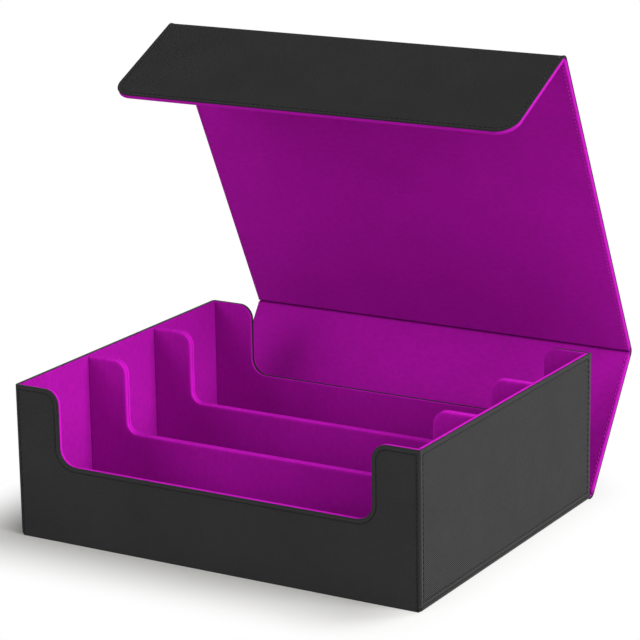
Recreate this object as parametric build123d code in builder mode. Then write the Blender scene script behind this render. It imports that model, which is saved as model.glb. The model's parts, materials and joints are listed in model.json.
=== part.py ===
from build123d import *
from math import cos, radians, sin
import os

# Card storage box: a leather-covered tray with three rows, and a wrap-round cover of three hinged panels.
# Millimetres. The origin is the centre of the tray's underside, the front faces -Y, and +Z is up.

# Tray, outside sizes
BOX_WIDTH = 319.0
BOX_DEPTH = 255.0
BOX_HEIGHT = 110.0
CORNER_RADIUS = 2.5

# Sheet and board thicknesses
LEATHER = 0.9
LINING = 0.7
WALL_BOARD = 2.5
FLOOR_BOARD = 2.0
COVER_BOARD = 2.4
DIVIDER_BOARD = 4.0

# Wide cut-out in the front wall, the back wall and both dividers
POST_WIDTH = 36.0
CUTOUT_BOTTOM = 56.5
WALL_TOP_RADIUS = 11.0
WALL_BOTTOM_RADIUS = 12.0
DIVIDER_TOP_RADIUS = 10.0
DIVIDER_BOTTOM_RADIUS = 8.5
DIVIDER_DROP = 0.5

# Softness of the lined edges
LINED_EDGE_RADIUS = 0.5
DIVIDER_EDGE_RADIUS = 1.2
DIVIDER_SEAM_BEVEL = 0.3

# Small gaps
BASE_GAP = 0.4
LID_GAP = 0.4
BACK_GAP = 0.5
FRONT_GAP = 2.0
FOLD_GAP = 0.45

# Cover: the height of the closed flap's free edge, and how far the panels stand open, in degrees
FLAP_FOOT = 24.0
FLAP_CORNER_RADIUS = 15.0
SPINE_LEAN = 35.0
LID_FOLD = 61.0
FLAP_FOLD = 90.0

# Closing magnets, hidden in the front wall and in the flap
MAGNET_RADIUS = 6.0
MAGNET_THICKNESS = 1.5
MAGNET_SPACING = 190.0
MAGNET_INSET = 14.0
MAGNET_CLEARANCE = 0.1

# Places across the tray, from the middle outward
HALF_WIDTH = BOX_WIDTH / 2
BOARD_OUT_X = HALF_WIDTH - LEATHER
BOARD_IN_X = BOARD_OUT_X - WALL_BOARD
LINING_IN_X = BOARD_IN_X - LINING
CUTOUT_HALF = HALF_WIDTH - POST_WIDTH
CORNER_START_X = HALF_WIDTH - CORNER_RADIUS

# Places along its depth
HALF_DEPTH = BOX_DEPTH / 2
BOARD_OUT_Y = HALF_DEPTH - LEATHER
BOARD_IN_Y = BOARD_OUT_Y - WALL_BOARD
LINING_IN_Y = BOARD_IN_Y - LINING
DIVIDER = DIVIDER_BOARD + 2 * LINING
ROW_DEPTH = (2 * LINING_IN_Y - 2 * DIVIDER) / 3

# Heights
BASE_TOP = LEATHER + COVER_BOARD
SKIRT_BOTTOM = BASE_TOP + BASE_GAP
FLOOR_BOARD_TOP = BASE_TOP + FLOOR_BOARD
ROW_FLOOR = FLOOR_BOARD_TOP + LINING
BOARD_TOP = BOX_HEIGHT - LINING
DIVIDER_TOP = BOX_HEIGHT - DIVIDER_DROP

# Rounding of a board inside a leather corner
BOARD_CORNER = CORNER_RADIUS - LEATHER

# Fold axes: each lies in the middle of the leather, where the outer faces of two panels meet
PANEL = LEATHER + COVER_BOARD + LINING
FOLD_HALF = PANEL - LEATHER / 2 + FOLD_GAP
SPINE_AXIS_Y = HALF_DEPTH + BACK_GAP + PANEL - LEATHER / 2
SPINE_LENGTH = BOX_HEIGHT + LID_GAP + PANEL - LEATHER
LID_LENGTH = SPINE_AXIS_Y + HALF_DEPTH + FRONT_GAP + PANEL - LEATHER / 2
FLAP_LENGTH = SPINE_LENGTH + LEATHER / 2 - FLAP_FOOT
BASE_END = SPINE_AXIS_Y - FOLD_HALF

# The magnets meet when the cover is closed, this far in from the flap's free edge
MAGNET_HEIGHT = FLAP_FOOT + MAGNET_INSET
MAGNET_ALONG_FLAP = FLAP_LENGTH - MAGNET_INSET

# Directions of the base, the spine, the lid and the flap, in degrees back from straight up
BASE_ANGLE = 90.0
SPINE_ANGLE = SPINE_LEAN
LID_ANGLE = SPINE_ANGLE - LID_FOLD
FLAP_ANGLE = LID_ANGLE - FLAP_FOLD


def along(angle):
    """Direction, in the side view, at this angle back from straight up."""
    return Vector(0, sin(radians(angle)), cos(radians(angle)))


def outward(angle):
    """Direction out of the leather face of a panel at this angle."""
    return Vector(0, cos(radians(angle)), -sin(radians(angle)))


SPINE_AXIS = Vector(0, SPINE_AXIS_Y, LEATHER / 2)
LID_AXIS = SPINE_AXIS + along(SPINE_ANGLE) * SPINE_LENGTH
FLAP_AXIS = LID_AXIS + along(LID_ANGLE) * LID_LENGTH


def facing_front(y):
    """Upright plane at this depth, drawn as seen from the front."""
    return Plane(origin=(0, y, 0), x_dir=(1, 0, 0), z_dir=(0, -1, 0))


def panel_plane(axis, angle, inward):
    """Plane in a cover panel, Y away from its fold, this far in from the middle of the leather."""
    return Plane(origin=axis - outward(angle) * inward, x_dir=(1, 0, 0), z_dir=-outward(angle))


def rectangle(left, right, low, high, low_radius=0.0, high_radius=0.0):
    """Face between four limits, with its low and its high corners rounded if asked."""
    with BuildLine() as outline:
        FilletPolyline(
            (left, low),
            (right, low),
            (right, high),
            (left, high),
            radius=[low_radius, low_radius, high_radius, high_radius],
            close=True,
        )
    make_face(outline.edges())


def notched_wall(half_width, bottom, top, top_radius, bottom_radius, inset=0.0):
    """Face of a wall with the wide cut-out. An inset draws back its top and the cut-out's edge."""
    rim = top - inset
    sill = CUTOUT_BOTTOM - inset
    notch = CUTOUT_HALF + inset
    post = top_radius - inset
    hollow = bottom_radius + inset
    with BuildLine() as outline:
        FilletPolyline(
            (-half_width, bottom),
            (half_width, bottom),
            (half_width, rim),
            (notch, rim),
            (notch, sill),
            (-notch, sill),
            (-notch, rim),
            (-half_width, rim),
            radius=[0, 0, 0, post, hollow, hollow, post, 0],
            close=True,
        )
    make_face(outline.edges())


def panel_face(length, corner_radius, inset=0.0):
    """Face of a cover panel from fold to far end, drawn in all round by the inset."""
    rectangle(
        inset - HALF_WIDTH,
        HALF_WIDTH - inset,
        FOLD_HALF + inset,
        length - inset,
        high_radius=max(corner_radius - inset, 0.0),
    )


def side_view(point):
    """Point of the side view as coordinates of a sketch on Plane.YZ."""
    return (point.Y, point.Z)


def fold_face(axis, angle_before, angle_after, outer, inner):
    """Section of a sheet bent round a fold, between two distances out from the middle of the leather."""
    start = axis - along(angle_before) * FOLD_HALF
    end = axis + along(angle_after) * FOLD_HALF
    corners = [
        side_view(start + outward(angle_before) * outer),
        side_view(end + outward(angle_after) * outer),
        side_view(end + outward(angle_after) * inner),
        side_view(start + outward(angle_before) * inner),
    ]
    direction = side_view(along(angle_before))
    with BuildLine() as outline:
        TangentArc(corners[0], corners[1], tangent=direction)
        Line(corners[1], corners[2])
        TangentArc(corners[3], corners[2], tangent=direction)
        Line(corners[3], corners[0])
    make_face(outline.edges())


def rim_edges(face, bottom, half_width):
    """Edges of a wall's face along its top and its cut-out, without its foot and its two ends."""
    return [
        edge
        for edge in face.edges()
        if edge.center().Z > bottom + LINING and abs(edge.center().X) < half_width - LINING
    ]


def save(piece, label):
    """Name a finished piece and write its file."""
    piece.label = label
    export_step(piece, f"parts/{label}.step")


os.makedirs("parts", exist_ok=True)

# Base of the cover: a board under the tray, in leather that covers its underside and turns up its edges
with BuildPart() as base_board:
    with BuildSketch(Plane.XY.offset(LEATHER)):
        rectangle(-BOARD_OUT_X, BOARD_OUT_X, -BOARD_OUT_Y, BASE_END, low_radius=BOARD_CORNER)
    extrude(amount=COVER_BOARD)
save(base_board.part, "base_board")

with BuildPart() as base_leather:
    with BuildSketch(Plane.XY):
        rectangle(-HALF_WIDTH, HALF_WIDTH, -HALF_DEPTH, BASE_END, low_radius=CORNER_RADIUS)
    extrude(amount=BASE_TOP)
    with BuildSketch(Plane.XY.offset(LEATHER)):
        rectangle(-BOARD_OUT_X, BOARD_OUT_X, -BOARD_OUT_Y, BASE_END, low_radius=BOARD_CORNER)
        rectangle(-CORNER_START_X, CORNER_START_X, -HALF_DEPTH, -HALF_DEPTH + CORNER_RADIUS)
    extrude(amount=COVER_BOARD, mode=Mode.SUBTRACT)
save(base_leather.part, "base_leather")

# Floor of the tray
with BuildPart() as floor_board:
    with BuildSketch(Plane.XY.offset(BASE_TOP)):
        rectangle(-BOARD_IN_X, BOARD_IN_X, -BOARD_IN_Y, BOARD_IN_Y)
    extrude(amount=FLOOR_BOARD)
save(floor_board.part, "floor_board")

with BuildPart() as floor_lining:
    with BuildSketch(Plane.XY.offset(FLOOR_BOARD_TOP)):
        rectangle(-LINING_IN_X, LINING_IN_X, -LINING_IN_Y, LINING_IN_Y)
    extrude(amount=LINING)
save(floor_lining.part, "floor_lining")

# Front and back walls: leather outside, board, and lining inside that turns over the board's edge.
# Each goes inward from its outer face, so its extrusions are negative at the front and positive at the back.
WALL_SIDES = {"front": -1, "back": 1}

for wall, side in WALL_SIDES.items():
    leather_foot = LEATHER if wall == "front" else SKIRT_BOTTOM

    with BuildPart() as wall_leather:
        with BuildSketch(facing_front(side * HALF_DEPTH)):
            notched_wall(CORNER_START_X, leather_foot, BOX_HEIGHT, WALL_TOP_RADIUS, WALL_BOTTOM_RADIUS)
        extrude(amount=side * LEATHER)
    save(wall_leather.part, f"{wall}_leather")

    with BuildPart() as wall_board:
        with BuildSketch(facing_front(side * BOARD_OUT_Y)):
            notched_wall(BOARD_IN_X, BASE_TOP, BOX_HEIGHT, WALL_TOP_RADIUS, WALL_BOTTOM_RADIUS, LINING)
        extrude(amount=side * WALL_BOARD)
        if wall == "front":
            with BuildSketch(facing_front(-BOARD_OUT_Y)):
                with GridLocations(MAGNET_SPACING, 1, 2, 1):
                    with Locations((0, MAGNET_HEIGHT)):
                        Circle(MAGNET_RADIUS + MAGNET_CLEARANCE)
            extrude(amount=-(MAGNET_THICKNESS + MAGNET_CLEARANCE), mode=Mode.SUBTRACT)
    save(wall_board.part, f"{wall}_board")

    with BuildPart() as wall_lining:
        with BuildSketch(facing_front(side * BOARD_OUT_Y)):
            notched_wall(BOARD_IN_X, FLOOR_BOARD_TOP, BOX_HEIGHT, WALL_TOP_RADIUS, WALL_BOTTOM_RADIUS)
        extrude(amount=side * (WALL_BOARD + LINING))
        with BuildSketch(facing_front(side * BOARD_OUT_Y)):
            notched_wall(BOARD_IN_X, BASE_TOP, BOX_HEIGHT, WALL_TOP_RADIUS, WALL_BOTTOM_RADIUS, LINING)
        extrude(amount=side * WALL_BOARD, mode=Mode.SUBTRACT)
        inner_face = wall_lining.faces().filter_by(Axis.Y).sort_by(Axis.Y)[-1 if wall == "front" else 0]
        fillet(rim_edges(inner_face, FLOOR_BOARD_TOP, BOARD_IN_X), LINED_EDGE_RADIUS)
    save(wall_lining.part, f"{wall}_lining")

with BuildPart() as front_wall_magnets:
    with BuildSketch(facing_front(-BOARD_OUT_Y)):
        with GridLocations(MAGNET_SPACING, 1, 2, 1):
            with Locations((0, MAGNET_HEIGHT)):
                Circle(MAGNET_RADIUS)
    extrude(amount=-MAGNET_THICKNESS)
save(front_wall_magnets.part, "front_wall_magnets")

# Side walls, full height. Their leather also makes the rolled corners.
with BuildPart() as right_leather:
    with BuildSketch(Plane.XY.offset(SKIRT_BOTTOM)):
        RectangleRounded(BOX_WIDTH, BOX_DEPTH, CORNER_RADIUS)
        RectangleRounded(2 * BOARD_OUT_X, 2 * BOARD_OUT_Y, BOARD_CORNER, mode=Mode.SUBTRACT)
        with Locations((CORNER_START_X, 0)):
            Rectangle(BOX_WIDTH, BOX_DEPTH, align=(Align.MIN, Align.CENTER), mode=Mode.INTERSECT)
    extrude(amount=BOX_HEIGHT - SKIRT_BOTTOM)
save(right_leather.part, "right_leather")

with BuildPart() as right_board:
    with BuildSketch(Plane.XY.offset(BASE_TOP)):
        RectangleRounded(2 * BOARD_OUT_X, 2 * BOARD_OUT_Y, BOARD_CORNER)
        with Locations((BOARD_IN_X, 0)):
            Rectangle(BOX_WIDTH, BOX_DEPTH, align=(Align.MIN, Align.CENTER), mode=Mode.INTERSECT)
    extrude(amount=BOARD_TOP - BASE_TOP)
save(right_board.part, "right_board")

with BuildPart() as right_lining:
    with BuildSketch(Plane.XY.offset(FLOOR_BOARD_TOP)):
        rectangle(LINING_IN_X, BOARD_IN_X, -LINING_IN_Y, LINING_IN_Y)
    extrude(amount=BOX_HEIGHT - FLOOR_BOARD_TOP)
    inner_rim = right_lining.edges().filter_by(Axis.Y).group_by(Axis.Z)[-1].sort_by(Axis.X)[0]
    fillet(inner_rim, LINED_EDGE_RADIUS)
    with BuildSketch(Plane.XY.offset(BOARD_TOP)):
        RectangleRounded(2 * BOARD_OUT_X, 2 * BOARD_OUT_Y, BOARD_CORNER)
        with Locations((BOARD_IN_X, 0)):
            Rectangle(BOX_WIDTH, BOX_DEPTH, align=(Align.MIN, Align.CENTER), mode=Mode.INTERSECT)
    extrude(amount=LINING)
save(right_lining.part, "right_lining")

for name, right_piece in (("leather", right_leather), ("board", right_board), ("lining", right_lining)):
    with BuildPart() as left_piece:
        mirror(right_piece.part, about=Plane.YZ)
    save(left_piece.part, f"left_{name}")

# Dividers: a board between two linings that meet along the middle of its edge
for number, divider in enumerate(("front_divider", "rear_divider")):
    front_y = -LINING_IN_Y + ROW_DEPTH + number * (DIVIDER + ROW_DEPTH)
    rear_y = front_y + DIVIDER

    with BuildPart() as divider_board:
        with BuildSketch(facing_front(front_y + LINING)):
            notched_wall(
                LINING_IN_X, ROW_FLOOR, DIVIDER_TOP, DIVIDER_TOP_RADIUS, DIVIDER_BOTTOM_RADIUS, LINING
            )
        extrude(amount=-DIVIDER_BOARD)
    save(divider_board.part, f"{divider}_board")

    for face_name, face_y, side in (("front", front_y, -1), ("rear", rear_y, 1)):
        with BuildPart() as divider_lining:
            with BuildSketch(facing_front(face_y)):
                notched_wall(LINING_IN_X, ROW_FLOOR, DIVIDER_TOP, DIVIDER_TOP_RADIUS, DIVIDER_BOTTOM_RADIUS)
            extrude(amount=side * DIVIDER / 2)
            outer_faces = divider_lining.faces().filter_by(Axis.Y).sort_by(Axis.Y)
            open_face, seam_face = outer_faces if side < 0 else reversed(outer_faces)
            fillet(rim_edges(open_face, ROW_FLOOR, LINING_IN_X), DIVIDER_EDGE_RADIUS)
            seam = divider_lining.faces().filter_by(Axis.Y).sort_by(Axis.Y)[-1 if side < 0 else 0]
            chamfer(rim_edges(seam, ROW_FLOOR, LINING_IN_X), DIVIDER_SEAM_BEVEL)
            add(divider_board.part, mode=Mode.SUBTRACT)
        save(divider_lining.part, f"{divider}_{face_name}_lining")

# Cover panels: leather outside, board, and lining inside that turns over the board's four edges
PANELS = {
    "spine": (SPINE_AXIS, BASE_ANGLE, SPINE_ANGLE, SPINE_LENGTH - FOLD_HALF, 0.0),
    "lid": (LID_AXIS, SPINE_ANGLE, LID_ANGLE, LID_LENGTH - FOLD_HALF, 0.0),
    "flap": (FLAP_AXIS, LID_ANGLE, FLAP_ANGLE, FLAP_LENGTH, FLAP_CORNER_RADIUS),
}

for panel, (axis, angle_before, angle, length, corner_radius) in PANELS.items():
    with BuildPart() as panel_leather:
        with BuildSketch(panel_plane(axis, angle, -LEATHER / 2)):
            panel_face(length, corner_radius)
        extrude(amount=LEATHER)
    save(panel_leather.part, f"{panel}_leather")

    with BuildPart() as panel_board:
        with BuildSketch(panel_plane(axis, angle, LEATHER / 2)):
            panel_face(length, corner_radius, LINING)
        extrude(amount=COVER_BOARD)
        if panel == "flap":
            with BuildSketch(panel_plane(axis, angle, LEATHER / 2 + COVER_BOARD)):
                with GridLocations(MAGNET_SPACING, 1, 2, 1):
                    with Locations((0, MAGNET_ALONG_FLAP)):
                        Circle(MAGNET_RADIUS + MAGNET_CLEARANCE)
            extrude(amount=-(MAGNET_THICKNESS + MAGNET_CLEARANCE), mode=Mode.SUBTRACT)
    save(panel_board.part, f"{panel}_board")

    with BuildPart() as panel_lining:
        with BuildSketch(panel_plane(axis, angle, LEATHER / 2)):
            panel_face(length, corner_radius)
        extrude(amount=COVER_BOARD + LINING)
        fillet(panel_lining.faces().sort_by(Axis(axis, -outward(angle)))[-1].edges(), LINED_EDGE_RADIUS)
        with BuildSketch(panel_plane(axis, angle, LEATHER / 2)):
            panel_face(length, corner_radius, LINING)
        extrude(amount=COVER_BOARD, mode=Mode.SUBTRACT)
    save(panel_lining.part, f"{panel}_lining")

    # The fold in front of the panel, where the leather and the lining bend with no board between them
    with BuildPart() as fold_leather:
        with BuildSketch(Plane.YZ.offset(-HALF_WIDTH)):
            fold_face(axis, angle_before, angle, LEATHER / 2, -LEATHER / 2)
        extrude(amount=BOX_WIDTH)
    save(fold_leather.part, f"{panel}_fold_leather")

    with BuildPart() as fold_lining:
        with BuildSketch(Plane.YZ.offset(-HALF_WIDTH)):
            fold_face(axis, angle_before, angle, -LEATHER / 2, -LEATHER / 2 - LINING)
        extrude(amount=BOX_WIDTH)
    save(fold_lining.part, f"{panel}_fold_lining")

with BuildPart() as flap_magnets:
    with BuildSketch(panel_plane(FLAP_AXIS, FLAP_ANGLE, LEATHER / 2 + COVER_BOARD)):
        with GridLocations(MAGNET_SPACING, 1, 2, 1):
            with Locations((0, MAGNET_ALONG_FLAP)):
                Circle(MAGNET_RADIUS)
    extrude(amount=-MAGNET_THICKNESS)
save(flap_magnets.part, "flap_magnets")

print("row depth", round(ROW_DEPTH, 2), "fold axes", SPINE_AXIS, LID_AXIS, FLAP_AXIS)
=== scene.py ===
"""Looks of a card storage box with a wrap-round cover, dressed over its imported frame.

Each sheet of leather or lining starts as a flat pattern, the way a maker cuts it: an outline, a section
across its free sides, and the way it is laid, flat, round a corner or round a fold. The stitches run along
the same outlines. Patterns are in millimetres, and the finished meshes are in metres.
"""

import json
import logging
from collections.abc import Callable, Sequence
from dataclasses import dataclass, field, replace
from enum import Enum
from math import atan2, cos, degrees, pi, radians, sin, tan

import bmesh
import bpy
from bmesh.types import BMesh, BMVert
from bpy.types import ID, Material, Node, NodeSocket, NodeTree, Object
from mathutils import Matrix, Vector


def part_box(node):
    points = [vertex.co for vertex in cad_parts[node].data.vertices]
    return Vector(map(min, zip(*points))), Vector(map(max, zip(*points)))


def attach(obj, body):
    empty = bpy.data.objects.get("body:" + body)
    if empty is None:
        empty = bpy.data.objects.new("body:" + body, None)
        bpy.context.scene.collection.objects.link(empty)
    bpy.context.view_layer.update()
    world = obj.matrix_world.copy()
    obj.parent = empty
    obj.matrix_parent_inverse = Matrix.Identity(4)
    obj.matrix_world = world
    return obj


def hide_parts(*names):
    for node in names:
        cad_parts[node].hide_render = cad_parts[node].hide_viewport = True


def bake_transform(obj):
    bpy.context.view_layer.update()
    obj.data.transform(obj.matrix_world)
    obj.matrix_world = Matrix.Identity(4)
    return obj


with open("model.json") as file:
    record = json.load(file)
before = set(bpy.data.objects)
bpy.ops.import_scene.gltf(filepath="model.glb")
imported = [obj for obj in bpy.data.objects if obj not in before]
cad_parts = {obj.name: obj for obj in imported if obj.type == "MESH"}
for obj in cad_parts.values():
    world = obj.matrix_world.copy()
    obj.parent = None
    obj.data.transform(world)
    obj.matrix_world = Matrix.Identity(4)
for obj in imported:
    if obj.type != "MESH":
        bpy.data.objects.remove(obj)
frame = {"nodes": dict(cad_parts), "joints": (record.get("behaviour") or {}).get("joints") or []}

MM = 0.001
HALF_TURN = pi
QUARTER_TURN = pi / 2
SAME_PLACE = 0.001
DECIMALS = 4
NUMBER = "NodeSocketFloat"
VECTOR = "NodeSocketVector"
ZERO = (0.0, 0.0, 0.0)
log = logging.getLogger("card_box")

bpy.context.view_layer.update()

Flat = tuple[float, float]
Relief = Callable[[float, float, float], float]
Colour = tuple[float, float, float, float]


def srgb(red: int, green: int, blue: int) -> Colour:
    """Turn a colour as a screen shows it, 0 to 255, into the linear colour that a shader takes.

    Args:
        red: red, 0 to 255.
        green: green, 0 to 255.
        blue: blue, 0 to 255.

    Returns:
        The linear colour, opaque.
    """
    knee, slope, lift, power = 0.04045, 12.92, 0.055, 2.4
    shares = [level / 255 for level in (red, green, blue)]
    linear = [s / slope if s <= knee else ((s + lift) / (1 + lift)) ** power for s in shares]
    return (*linear, 1.0)


class Body(Enum):
    """The bodies of the frame that a piece can move with."""

    TRAY = "tray"
    SPINE = "spine"
    LID = "lid"
    FLAP = "flap"


class Slot(Enum):
    """The record's material slots."""

    LEATHER = "black_leather"
    LINING = "magenta_lining"
    BOARD = "grey_board"
    STEEL = "magnet_steel"


class Wall(Enum):
    """The walls of the tray, by where they stand."""

    FRONT = "front"
    BACK = "back"
    RIGHT = "right"
    LEFT = "left"

    @property
    def side(self) -> int:
        """1 for the walls at the back and on the right, -1 for those at the front and on the left."""
        return 1 if self in (Wall.BACK, Wall.RIGHT) else -1


# Sizes


def node_box(name: str) -> tuple[Vector, Vector]:
    """Lowest and highest corner of a node of the frame, in millimetres."""
    low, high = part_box(name)
    return low / MM, high / MM


@dataclass(frozen=True)
class BoxSizes:
    """Sizes of the box in millimetres: those without a value here are read from the frame.

    Attributes:
        half_width: half the outside width of the tray.
        half_depth: half its outside depth.
        height: its outside height.
        corner: radius of its upright leather corners.
        leather: thickness of the leather.
        lining: thickness of the lining.
        wall_board: thickness of the board in a wall.
        cover_board: thickness of the board in a cover panel.
        front_foot: height at which the front leather starts.
        skirt_foot: height at which the other walls' leather starts.
        base_top: top of the cover's base board.
        base_end: depth at which the cover's base ends and its first fold starts.
        lining_foot: height at which the walls' lining starts.
        floor_top: top of the floor lining.
        divider_top: top of the dividers.
        divider_middles: depths of the middles of the two dividers.
        divider_half: half the thickness of a divider.
        fold_axes: the three fold axes, in the side view, from the tray outward.
        flap_tip: height of the flap's lower end.
        cutout_half: half the width of the cut-outs.
        cutout_sill: height of their lower edge.
        post_radius: rounding of the wall posts' inner top corners.
        hollow_radius: rounding of the lower corners of the wall cut-outs.
        divider_post_radius: rounding of the divider posts' inner top corners.
        divider_hollow_radius: rounding of the lower corners of the divider cut-outs.
        fold_half: half the length of a fold, from its axis to where a panel's board starts.
        flap_corner: rounding of the flap's free corners.
        flap_turn: turn from the lid to the flap, in degrees.
    """

    half_width: float
    half_depth: float
    height: float
    corner: float
    leather: float
    lining: float
    wall_board: float
    cover_board: float
    front_foot: float
    skirt_foot: float
    base_top: float
    base_end: float
    lining_foot: float
    floor_top: float
    divider_top: float
    divider_middles: tuple[float, float]
    divider_half: float
    fold_axes: tuple[Vector, Vector, Vector]
    flap_tip: float
    cutout_half: float = 123.5
    cutout_sill: float = 56.5
    post_radius: float = 11.0
    hollow_radius: float = 12.0
    divider_post_radius: float = 10.0
    divider_hollow_radius: float = 8.5
    fold_half: float = 4.0
    flap_corner: float = 15.0
    flap_turn: float = 90.0

    @classmethod
    def from_frame(cls) -> "BoxSizes":
        """Read the sizes from the nodes and joints of the frame.

        Returns:
            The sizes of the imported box.
        """
        side_low, side_high = node_box("right_leather")
        front_low, front_high = node_box("front_leather")
        board_low, board_high = node_box("front_board")
        lining_low, lining_high = node_box("front_lining")
        base_low, base_high = node_box("base_board")
        dividers = [node_box(f"{name}_divider_front_lining") for name in ("front", "rear")]
        leather = front_high.y - front_low.y
        wall_board = board_high.y - board_low.y
        return cls(
            half_width=side_high.x,
            half_depth=side_high.y,
            height=side_high.z,
            corner=side_high.x - front_high.x,
            leather=leather,
            lining=lining_high.y - lining_low.y - wall_board,
            wall_board=wall_board,
            cover_board=base_high.z - base_low.z,
            front_foot=front_low.z,
            skirt_foot=side_low.z,
            base_top=base_high.z,
            base_end=base_high.y,
            lining_foot=lining_low.z,
            floor_top=node_box("floor_lining")[1].z,
            divider_top=dividers[0][1].z,
            divider_middles=(dividers[0][1].y, dividers[1][1].y),
            divider_half=dividers[0][1].y - dividers[0][0].y,
            fold_axes=tuple(Vector(joint["pos_m"]) / MM for joint in frame["joints"]),
            flap_tip=node_box("flap_leather")[0].z,
        )


# Flat patterns and how they are laid


@dataclass(frozen=True)
class Corner:
    """A corner of a pattern, with the side that runs from it to the next corner, anticlockwise.

    Attributes:
        across: place along the pattern's first direction.
        up: place along its second direction.
        radius: rounding of this corner.
        free: True where the side has the edge section, False where it is cut square.
        turned: True where the sheet turns in over an edge as well, False where it lies flat to its end.
        holds: the side stays on the outline up to this inset.
        lead: past that, how much further in than the inset it lies.
    """

    across: float
    up: float
    radius: float = 0.0
    free: bool = True
    turned: bool = True
    holds: float = -1.0
    lead: float = 0.0

    def drawn_in(self, inset: float) -> float:
        """How far in this side lies for a ring at an inset."""
        return 0.0 if not self.free or inset <= self.holds else inset + self.lead


@dataclass(frozen=True)
class Ring:
    """One line of a section: its inset from the free sides, its height, and where it is pressed or gets
    painted highlight or painted shade.

    Attributes:
        inset: distance in from the outline.
        height: height over the pattern's back.
        edge: 1 on the rolled edge, which gets painted shade on leather and a painted highlight on lining, and
            down to -1 where a highlight is painted on leather round a corner.
        band: 1 between the edge and the seam.
        seam: 1 at the bottom of the seam's groove, where its painted shade is darkest.
        flat: inset and height on a side that doesn't turn in, where they differ.
    """

    inset: float
    height: float
    edge: float = 0.0
    band: float = 0.0
    seam: float = 0.0
    flat: Flat | None = None

    def laid_flat(self) -> "Ring":
        """This ring on a side that doesn't turn in."""
        return replace(self, inset=self.flat[0], height=self.flat[1]) if self.flat else self


@dataclass(frozen=True)
class Pattern:
    """A flat outline, anticlockwise.

    Attributes:
        corners: its corners in order.
        arc_steps: straight pieces in each rounded corner.
    """

    corners: tuple[Corner, ...]
    arc_steps: int = 10

    @classmethod
    def rectangle(cls, low: Flat, high: Flat, free: Sequence[bool] = (False,) * 4) -> "Pattern":
        """A rectangle, with which of its lower, right, upper and left sides are free."""
        places = (low, (high[0], low[1]), high, (low[0], high[1]))
        return cls(tuple(Corner(*place, free=loose) for place, loose in zip(places, free)))

    def corner_points(self, index: int, inset: float) -> list[Flat]:
        """Points of one corner for the ring at an inset.

        Args:
            index: which corner.
            inset: distance in from the outline.

        Returns:
            One point for a sharp corner, and an arc of points for a rounded one.
        """
        before = self.corners[index - 1]
        here = self.corners[index]
        after = self.corners[(index + 1) % len(self.corners)]
        place = Vector((here.across, here.up))
        arriving = (place - Vector((before.across, before.up))).normalized()
        leaving = (Vector((after.across, after.up)) - place).normalized()
        inward_in = Vector((-arriving.y, arriving.x))
        inward_out = Vector((-leaving.y, leaving.x))
        turn = arriving.cross(leaving)
        depth_in = before.drawn_in(inset)
        depth_out = here.drawn_in(inset)
        shift = (leaving * depth_in - arriving * depth_out) / turn
        sharp = place + shift
        if not here.radius:
            return [tuple(sharp)]
        sense = 1.0 if turn > 0 else -1.0
        radius = here.radius - sense * inset
        if radius < 0:
            return [tuple(sharp)] * (self.arc_steps + 1)
        half_angle = arriving.angle(leaving) / 2
        bisector = (inward_in + inward_out).normalized() * sense
        centre = place + bisector * here.radius / cos(half_angle)
        start = atan2(-sense * inward_in.y, -sense * inward_in.x)
        points = []
        for step in range(self.arc_steps + 1):
            angle = start + sense * 2 * half_angle * step / self.arc_steps
            points.append((centre.x + radius * cos(angle), centre.y + radius * sin(angle)))
        return points

    def free_runs(self, inset: float) -> list[list[Flat]]:
        """Lines beside the free sides at an inset, for seams.

        Args:
            inset: distance in from the outline.

        Returns:
            One line for each stretch of free sides, closed by its first point where they go all round.
        """
        count = len(self.corners)
        cuts = [index for index in range(count) if not self.corners[index].free]
        if not cuts:
            ring = [point for index in range(count) for point in self.corner_points(index, inset)]
            return [ring + ring[:1]]
        runs = []
        for cut in cuts:
            run = []
            index = (cut + 1) % count
            while self.corners[index].free:
                run += self.corner_points(index, inset)
                index = (index + 1) % count
            if run:
                runs.append(run + self.corner_points(index, inset))
        return runs


@dataclass(frozen=True)
class Leg:
    """One leg of a lay: straight for a length, or a turn away from the outward side.

    Attributes:
        length: length of a straight leg, or of a turn's arc.
        radius: radius of a turn, and none where the leg is straight.
    """

    length: float
    radius: float = 0.0

    @classmethod
    def turn(cls, radius: float, angle: float) -> "Leg":
        """A turn with this radius and this angle in radians."""
        return cls(radius * angle, radius)


@dataclass(frozen=True)
class Lay:
    """How a pattern lies in space: its first direction follows the legs, its second one stays across them.

    Attributes:
        origin: where the pattern's zero lies.
        heading: direction of its first axis there.
        outward: direction out of its front there.
        legs: what the first direction does from the pattern's zero on.
        level: height in the pattern that follows the legs.
        turn_steps: straight pieces in each turn.
    """

    origin: Vector
    heading: Vector
    outward: Vector
    legs: tuple[Leg, ...] = ()
    level: float = 0.0
    turn_steps: int = 8

    @property
    def across(self) -> Vector:
        """Direction of the pattern's second axis."""
        return self.outward.cross(self.heading)

    def follow(self, distance: float) -> tuple[Vector, Vector]:
        """Walk along the legs.

        Args:
            distance: how far along.

        Returns:
            The place on the line of the legs, and the outward direction there.
        """
        place, heading, outward = self.origin.copy(), self.heading, self.outward
        left = distance
        for leg in self.legs:
            part = min(left, leg.length)
            if leg.radius:
                angle = part / leg.radius
                centre = place - outward * leg.radius
                turned = outward * cos(angle) + heading * sin(angle)
                heading = heading * cos(angle) - outward * sin(angle)
                outward = turned
                place = centre + outward * leg.radius
            else:
                place = place + heading * part
            left -= part
            if left <= 0:
                return place, outward
        return place + heading * left, outward

    def lift(self, along: float, across: float, height: float) -> Vector:
        """Place of a point of the pattern in space, in millimetres."""
        place, outward = self.follow(along)
        return place + self.across * across + outward * (height - self.level)

    def bends(self) -> list[float]:
        """Find where a mesh is cut so that it can turn.

        Returns:
            Distances along the legs.
        """
        found, reached = [], 0.0
        steps = self.turn_steps
        for leg in self.legs:
            if leg.radius:
                found += [reached + leg.length * step / steps for step in range(steps + 1)]
            reached += leg.length
        return found
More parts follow.
